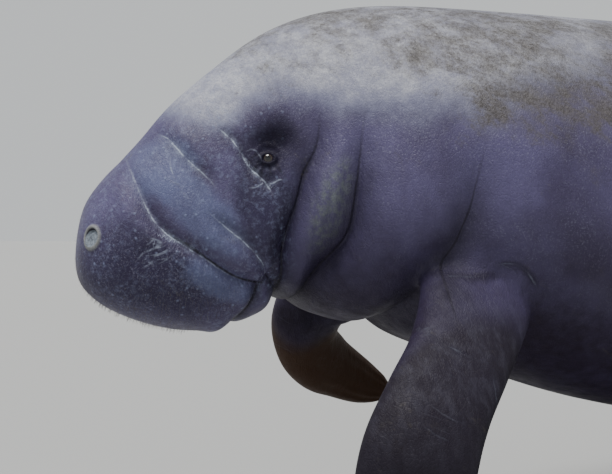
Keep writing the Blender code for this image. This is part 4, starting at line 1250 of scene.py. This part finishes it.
def nails(side):
    sign, stations = FLIPPERS[side]
    frames = flipper_frames(stations, RINGS_EACH)
    mirror = np.array([sign, 1, 1])
    shape = bmesh.new()
    for k in range(NAILS):
        centre, wide_way, long_way, out = nail_place(frames, k)
        add_nail(shape, centre * mirror + SNOUT, wide_way * mirror, long_way * mirror, out * mirror)
    bmesh.ops.remove_doubles(shape, verts=shape.verts, dist=1e-5)
    bmesh.ops.recalc_face_normals(shape, faces=shape.faces)
    thing = add_mesh("nails_" + side, shape)
    thing.data.shade_smooth()
    return thing


def horn_material():
    tree = Tree("nail_horn")
    lines = tree.noise(360.0, 3.0, 0.6, vector=tree.stretched((1.0, 1.0, 6.0)))
    colour = tree.blend(tree.ramp(lines, 0.35, 0.65), (0.070, 0.060, 0.051), (0.140, 0.124, 0.104))
    tree.shader.inputs["Roughness"].default_value = 0.34
    return tree.finish(colour, None, tree.bump(lines, 0.3, 0.0004))


HORN_FINISH = horn_material()
claws = {}
for side in FLIPPERS:
    claws[side] = nails(side)
    claws[side].data.materials.append(HORN_FINISH)
    print(claws[side].name, len(claws[side].data.polygons), "faces")

# %% [markdown]
# ## Bristles
# The muzzle and chin carry short stiff hairs, one to a pit, which a manatee uses to feel and to gather
# food. Geometry Nodes scatter one tapered bristle over the pad, lean each one forward and down, and vary its
# length. The result is made plain mesh, so that it travels with the model.

# %% One bristle
BRISTLE_LONG = 0.0075
BRISTLE_THICK = 0.00026
BRISTLE_SIDES = 4
BRISTLE_STEPS = 4
BRISTLE_BEND = 0.22


def bristle():
    shape = bmesh.new()
    rings = []
    for step in range(BRISTLE_STEPS):
        share = step / BRISTLE_STEPS
        reach = BRISTLE_THICK * (1 - 0.75 * share)
        bend = BRISTLE_BEND * BRISTLE_LONG * share**2
        ring = []
        for k in range(BRISTLE_SIDES):
            turn = 2 * math.pi * k / BRISTLE_SIDES
            x = reach * math.cos(turn) + bend
            ring.append(shape.verts.new((x, reach * math.sin(turn), BRISTLE_LONG * share)))
        rings.append(ring)
    tip = shape.verts.new((BRISTLE_BEND * BRISTLE_LONG, 0, BRISTLE_LONG))
    for near, far in zip(rings, rings[1:]):
        for k in range(BRISTLE_SIDES):
            shape.faces.new((near[k - 1], near[k], far[k], far[k - 1]))
    for k in range(BRISTLE_SIDES):
        shape.faces.new((rings[-1][k - 1], rings[-1][k], tip))
    shape.faces.new(list(reversed(rings[0])))
    return add_mesh("bristle", shape)


def bristle_material():
    tree = Tree("bristle_hair")
    tint = tree.ramp(tree.noise(200.0), 0.3, 0.7)
    tree.shader.inputs["Roughness"].default_value = 0.45
    return tree.finish(tree.blend(tint, (0.060, 0.050, 0.052), (0.190, 0.170, 0.175)))


# %% The scattering tree


class Grove:
    """A Geometry Nodes tree with named inputs that sets one shape on another's skin."""

    def __init__(self, name, numbers):
        self.tree = bpy.data.node_groups.new(name, "GeometryNodeTree")
        self.sockets = {}
        face = self.tree.interface
        face.new_socket("Geometry", in_out="OUTPUT", socket_type="NodeSocketGeometry")
        face.new_socket("Geometry", in_out="INPUT", socket_type="NodeSocketGeometry")
        for title, kind, value in numbers:
            socket = face.new_socket(title, in_out="INPUT", socket_type=kind)
            if value is not None:
                socket.default_value = value
            self.sockets[title] = socket.identifier
        self.start = self.tree.nodes.new("NodeGroupInput")
        self.end = self.tree.nodes.new("NodeGroupOutput")

    def node(self, kind, links=(), **settings):
        made = self.tree.nodes.new(kind)
        for key, value in settings.items():
            setattr(made, key, value)
        for key, value in dict(links).items():
            if isinstance(value, bpy.types.NodeSocket):
                self.tree.links.new(value, made.inputs[key])
            else:
                made.inputs[key].default_value = value
        return made

    def value(self, title):
        return self.start.outputs[title]


def scatter_tree(material):
    numbers = (("Hair", "NodeSocketObject", None), ("Density", "NodeSocketFloat", 1000.0),
               ("Spacing", "NodeSocketFloat", 0.002), ("Shortest", "NodeSocketFloat", 0.5),
               ("Longest", "NodeSocketFloat", 1.0), ("Lean", "NodeSocketFloat", 0.6),
               ("Seed", "NodeSocketInt", 5))
    grove = Grove("scatter_bristles", numbers)
    value = grove.value
    here = grove.node("GeometryNodeInputNamedAttribute", {"Name": "bristle_share"}, data_type="FLOAT")
    mapped = grove.node("GeometryNodeInputNamedAttribute", {"Name": "OFBake"}, data_type="FLOAT_VECTOR")
    lie = grove.node("GeometryNodeInputNamedAttribute", {"Name": "bristle_lie"}, data_type="FLOAT_VECTOR")
    points = grove.node("GeometryNodeDistributePointsOnFaces",
                        {"Mesh": value("Geometry"), "Distance Min": value("Spacing"),
                         "Density Max": value("Density"), "Density Factor": here.outputs["Attribute"],
                         "Seed": value("Seed")}, distribute_method="POISSON")
    sample = grove.node("GeometryNodeSampleNearestSurface",
                        {"Mesh": value("Geometry"), "Value": mapped.outputs["Attribute"]},
                        data_type="FLOAT_VECTOR")
    stored = grove.node("GeometryNodeStoreNamedAttribute",
                        {"Geometry": points.outputs["Points"], "Name": "root_map",
                         "Value": sample.outputs["Value"]},
                        data_type="FLOAT_VECTOR", domain="POINT")
    leaning = grove.node("ShaderNodeVectorMath", {0: lie.outputs["Attribute"]}, operation="SCALE")
    grove.tree.links.new(value("Lean"), leaning.inputs["Scale"])
    jitter = grove.node("FunctionNodeRandomValue", {"Min": (-0.3, -0.3, -0.3), "Max": (0.3, 0.3, 0.3),
                                                    "Seed": value("Seed")}, data_type="FLOAT_VECTOR")
    up = grove.node("ShaderNodeVectorMath", {0: points.outputs["Normal"], 1: leaning.outputs["Vector"]},
                    operation="ADD")
    up = grove.node("ShaderNodeVectorMath", {0: up.outputs["Vector"], 1: jitter.outputs["Value"]},
                    operation="ADD")
    turned = grove.node("FunctionNodeAlignRotationToVector", {"Vector": up.outputs["Vector"]}, axis="Z")
    bend = grove.node("FunctionNodeAlignRotationToVector",
                      {"Rotation": turned.outputs["Rotation"], "Vector": lie.outputs["Attribute"]},
                      axis="X", pivot_axis="Z")
    any_size = grove.node("FunctionNodeRandomValue", {2: value("Shortest"), 3: value("Longest"),
                                                      "Seed": value("Seed")}, data_type="FLOAT")
    reach = grove.node("GeometryNodeInputNamedAttribute", {"Name": "bristle_reach"}, data_type="FLOAT")
    size = grove.node("ShaderNodeMath", {0: any_size.outputs[1], 1: reach.outputs["Attribute"]},
                      operation="MULTIPLY")
    hair = grove.node("GeometryNodeObjectInfo", {"Object": value("Hair")})
    grown = grove.node("GeometryNodeInstanceOnPoints",
                       {"Points": stored.outputs["Geometry"], "Instance": hair.outputs["Geometry"],
                        "Rotation": bend.outputs["Rotation"], "Scale": size.outputs[0]})
    real = grove.node("GeometryNodeRealizeInstances", {"Geometry": grown.outputs["Instances"]})
    painted = grove.node("GeometryNodeSetMaterial",
                         {"Geometry": real.outputs["Geometry"], "Material": material})
    grove.tree.links.new(painted.outputs["Geometry"], grove.end.inputs["Geometry"])
    return grove


# %% Where bristles grow, and which way they lie


def bristle_ground():
    """A copy of the muzzle's skin that holds how thickly bristles grow at each corner."""
    place = corners_of(hide) - SNOUT
    aft, up = place[:, 1], place[:, 2]
    pad_gap = np.hypot((aft - 0.085) / 0.125, (up + 0.045) / 0.085)
    share = ease((1.10 - pad_gap) / 0.35) * ease((0.020 - (up + 0.62 * (aft - 0.085))) / 0.03)
    share = np.maximum(share, 0.6 * ease((0.055 - aft) / 0.02) * ease((0.075 - up) / 0.03))
    reach = 0.40 + 0.60 * ease((-0.045 - up) / 0.05)
    ring, _, _ = nostril_ring(place)
    share = share * ease((ring - 1.2) / 0.4)
    shape = bmesh.new()
    shape.from_mesh(hide.data)
    shape.verts.ensure_lookup_table()
    far = [vert for vert, value in zip(shape.verts, share) if value <= 0.0]
    kept, reach = share[share > 0.0], reach[share > 0.0]
    bmesh.ops.delete(shape, geom=far, context="VERTS")
    thing = add_mesh("bristle_ground", shape)
    marks = thing.data.attributes.new("bristle_share", "FLOAT", "POINT")
    marks.data.foreach_set("value", kept.astype(np.float32))
    lengths = thing.data.attributes.new("bristle_reach", "FLOAT", "POINT")
    lengths.data.foreach_set("value", reach.astype(np.float32))
    lie = thing.data.attributes.new("bristle_lie", "FLOAT_VECTOR", "POINT")
    lie.data.foreach_set("vector", np.tile([0.0, -0.35, -0.95], len(kept)).astype(np.float32))
    return thing


def keep_root_map(mesh):
    """Each bristle gets its own small patch of the map, at its root's place."""
    roots = np.empty(len(mesh.vertices) * 3)
    mesh.attributes["root_map"].data.foreach_get("vector", roots)
    roots = roots.reshape(-1, 3)
    faces = np.empty(len(mesh.loops), dtype=int)
    mesh.loops.foreach_get("vertex_index", faces)
    per_hair = BRISTLE_SIDES * BRISTLE_STEPS + 1
    inside = faces % per_hair
    around = np.stack([inside % BRISTLE_SIDES, inside // BRISTLE_SIDES], axis=1)
    spread = around / np.array([BRISTLE_SIDES, BRISTLE_STEPS]) * 0.003
    layer = mesh.uv_layers.new(name="OFBake")
    layer.data.foreach_set("uv", (roots[faces, :2] + spread).astype(np.float32).ravel())


def grow_bristles(ground, hair, grove, settings):
    modifier = ground.modifiers.new("bristles", "NODES")
    modifier.node_group = grove.tree
    modifier[grove.sockets["Hair"]] = hair
    for title, value in settings.items():
        modifier[grove.sockets[title]] = value
    mesh = bpy.data.meshes.new_from_object(ground.evaluated_get(bpy.context.evaluated_depsgraph_get()))
    ground.modifiers.remove(modifier)
    keep_root_map(mesh)
    return mesh


HAIR = bristle()
GROUND = bristle_ground()
BRISTLE_SETTINGS = {"Density": 90000.0, "Spacing": 0.0036, "Shortest": 0.35, "Longest": 1.0, "Lean": 0.55,
                    "Seed": 5}
bristle_mesh = grow_bristles(GROUND, HAIR, scatter_tree(bristle_material()), BRISTLE_SETTINGS)
bristles = bpy.data.objects.new("muzzle_bristles", bristle_mesh)
bpy.context.scene.collection.objects.link(bristles)
bpy.data.objects.remove(GROUND, do_unlink=True)
bpy.data.objects.remove(HAIR, do_unlink=True)
print(len(bristle_mesh.vertices) // (BRISTLE_SIDES * BRISTLE_STEPS + 1), "bristles,",
      sum(len(face.vertices) - 2 for face in bristle_mesh.polygons), "triangles")

# %% [markdown]
# ## The stand
# The base plate and its two rods stay as the solids have them. They get the finish of powder-coated steel: a
# dark, nearly even grey with a fine grain, and a little wear towards a lighter tone.

# %% Painted steel


def painted_steel():
    tree = Tree("stand_paint")
    grain = tree.noise(1400.0, 2.0, 0.5)
    cloud = tree.noise(6.0, 4.0, 0.6)
    colour = tree.blend(tree.ramp(cloud, 0.3, 0.7), (0.040, 0.041, 0.044), (0.055, 0.056, 0.060))
    roughness = tree.ramp(cloud, 0.3, 0.7, 0.40, 0.52)
    return tree.finish(colour, roughness, tree.bump(grain, 0.22, 0.0003))


STAND_FINISH = painted_steel()
STAND = ("stand_base", "stand_rod_front", "stand_rod_rear")
for name in STAND:
    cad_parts[name].data.materials.clear()
    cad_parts[name].data.materials.append(STAND_FINISH)
print("painted", len(STAND), "parts of the stand")

# %% [markdown]
# ## Floor, light and camera
# A plain pale floor, a pale room and one broad soft light, high on the camera's side and a little to the
# front, give the photo's bright crown and its shade under the jaw and the belly. The camera stands level with
# the snout, on the animal's left and a little ahead of it.

# %% Floor and light
FLOOR_RADIUS = 120.0


def pale_floor():
    mesh = bpy.data.meshes.new("floor")
    angle = np.linspace(0, 2 * math.pi, 96, endpoint=False)
    rim = [(FLOOR_RADIUS * math.cos(a), FLOOR_RADIUS * math.sin(a), 0.0) for a in angle]
    mesh.from_pydata(rim, [], [tuple(range(len(rim)))])
    floor = bpy.data.objects.new("floor", mesh)
    bpy.context.scene.collection.objects.link(floor)
    finish = bpy.data.materials.new("floor_paint")
    finish.use_nodes = True
    finish.node_tree.nodes["Principled BSDF"].inputs["Base Color"].default_value = (0.436, 0.436, 0.428, 1)
    finish.node_tree.nodes["Principled BSDF"].inputs["Roughness"].default_value = 0.85
    mesh.materials.append(finish)
    return floor


def soft_sun(place, strength, spread, tint):
    lamp = bpy.data.lights.new("key", "SUN")
    lamp.energy = strength
    lamp.angle = math.radians(spread)
    lamp.color = tint
    thing = bpy.data.objects.new("key", lamp)
    thing.rotation_euler = (-Vector(place)).to_track_quat("-Z", "Y").to_euler()
    bpy.context.scene.collection.objects.link(thing)


def studio_world(horizon, above, strength):
    """A pale room: one tone at the height of the eye, another overhead."""
    world = bpy.data.worlds.new("studio")
    world.use_nodes = True
    nodes, links = world.node_tree.nodes, world.node_tree.links
    way = nodes.new("ShaderNodeTexCoord")
    apart = nodes.new("ShaderNodeSeparateXYZ")
    height = nodes.new("ShaderNodeMapRange")
    height.inputs["From Min"].default_value = 0.34
    height.inputs["From Max"].default_value = 0.62
    tone = nodes.new("ShaderNodeMix")
    tone.data_type = "RGBA"
    tone.inputs[6].default_value = (*horizon, 1)
    tone.inputs[7].default_value = (*above, 1)
    links.new(way.outputs["Generated"], apart.inputs[0])
    links.new(apart.outputs["Z"], height.inputs["Value"])
    links.new(height.outputs["Result"], tone.inputs[0])
    links.new(tone.outputs[2], nodes["Background"].inputs["Color"])
    nodes["Background"].inputs["Strength"].default_value = strength
    bpy.context.scene.world = world


pale_floor()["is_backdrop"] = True
# The hide's paint adds to this light: a painted top light on the crown and the back, and painted shade under
# the jaw, the body and the flippers.
soft_sun((0.36, -0.45, 1.7), 3.9, 30.0, (1.0, 0.985, 0.95))
studio_world((0.66, 0.68, 0.69), (0.34, 0.37, 0.42), 1.0)

# %% The photo's camera
LENS_WIDTH = 36.0
FOCAL_PIXELS = 780.0
PHOTO_WIDTH = 612.0
CAMERA_SIDE = 1.031
CAMERA_AHEAD = 0.064
CAMERA_TURN = 20.0
eye_point = bpy.data.cameras.new("photo_camera")
eye_point.sensor_width = LENS_WIDTH
eye_point.lens = FOCAL_PIXELS / PHOTO_WIDTH * LENS_WIDTH
camera = bpy.data.objects.new("photo_camera", eye_point)
camera.location = (CAMERA_SIDE, SNOUT[1] - CAMERA_AHEAD, SNOUT[2])
looking = Vector((-math.cos(math.radians(CAMERA_TURN)), math.sin(math.radians(CAMERA_TURN)), 0.0))
camera.rotation_euler = looking.to_track_quat("-Z", "Y").to_euler()
bpy.context.scene.collection.objects.link(camera)
bpy.context.scene.camera = camera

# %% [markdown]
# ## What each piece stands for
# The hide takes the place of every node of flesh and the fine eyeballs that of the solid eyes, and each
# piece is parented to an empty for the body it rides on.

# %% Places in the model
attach(hide, "root")
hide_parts("head", "neck", "torso", "tail_stock", "tail_fluke", "flipper_left", "flipper_right")
for side in eyes:
    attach(eyes[side], "root")
    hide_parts("eye_" + side)
    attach(claws[side], "root")
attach(bristles, "root")

# %% Sizes before and after
MODEL_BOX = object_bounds()
for title, corners in (("solids", CAD_BOX), ("model", MODEL_BOX)):
    print(title, [round(float(high - low), 4) for low, high in zip(*corners)])
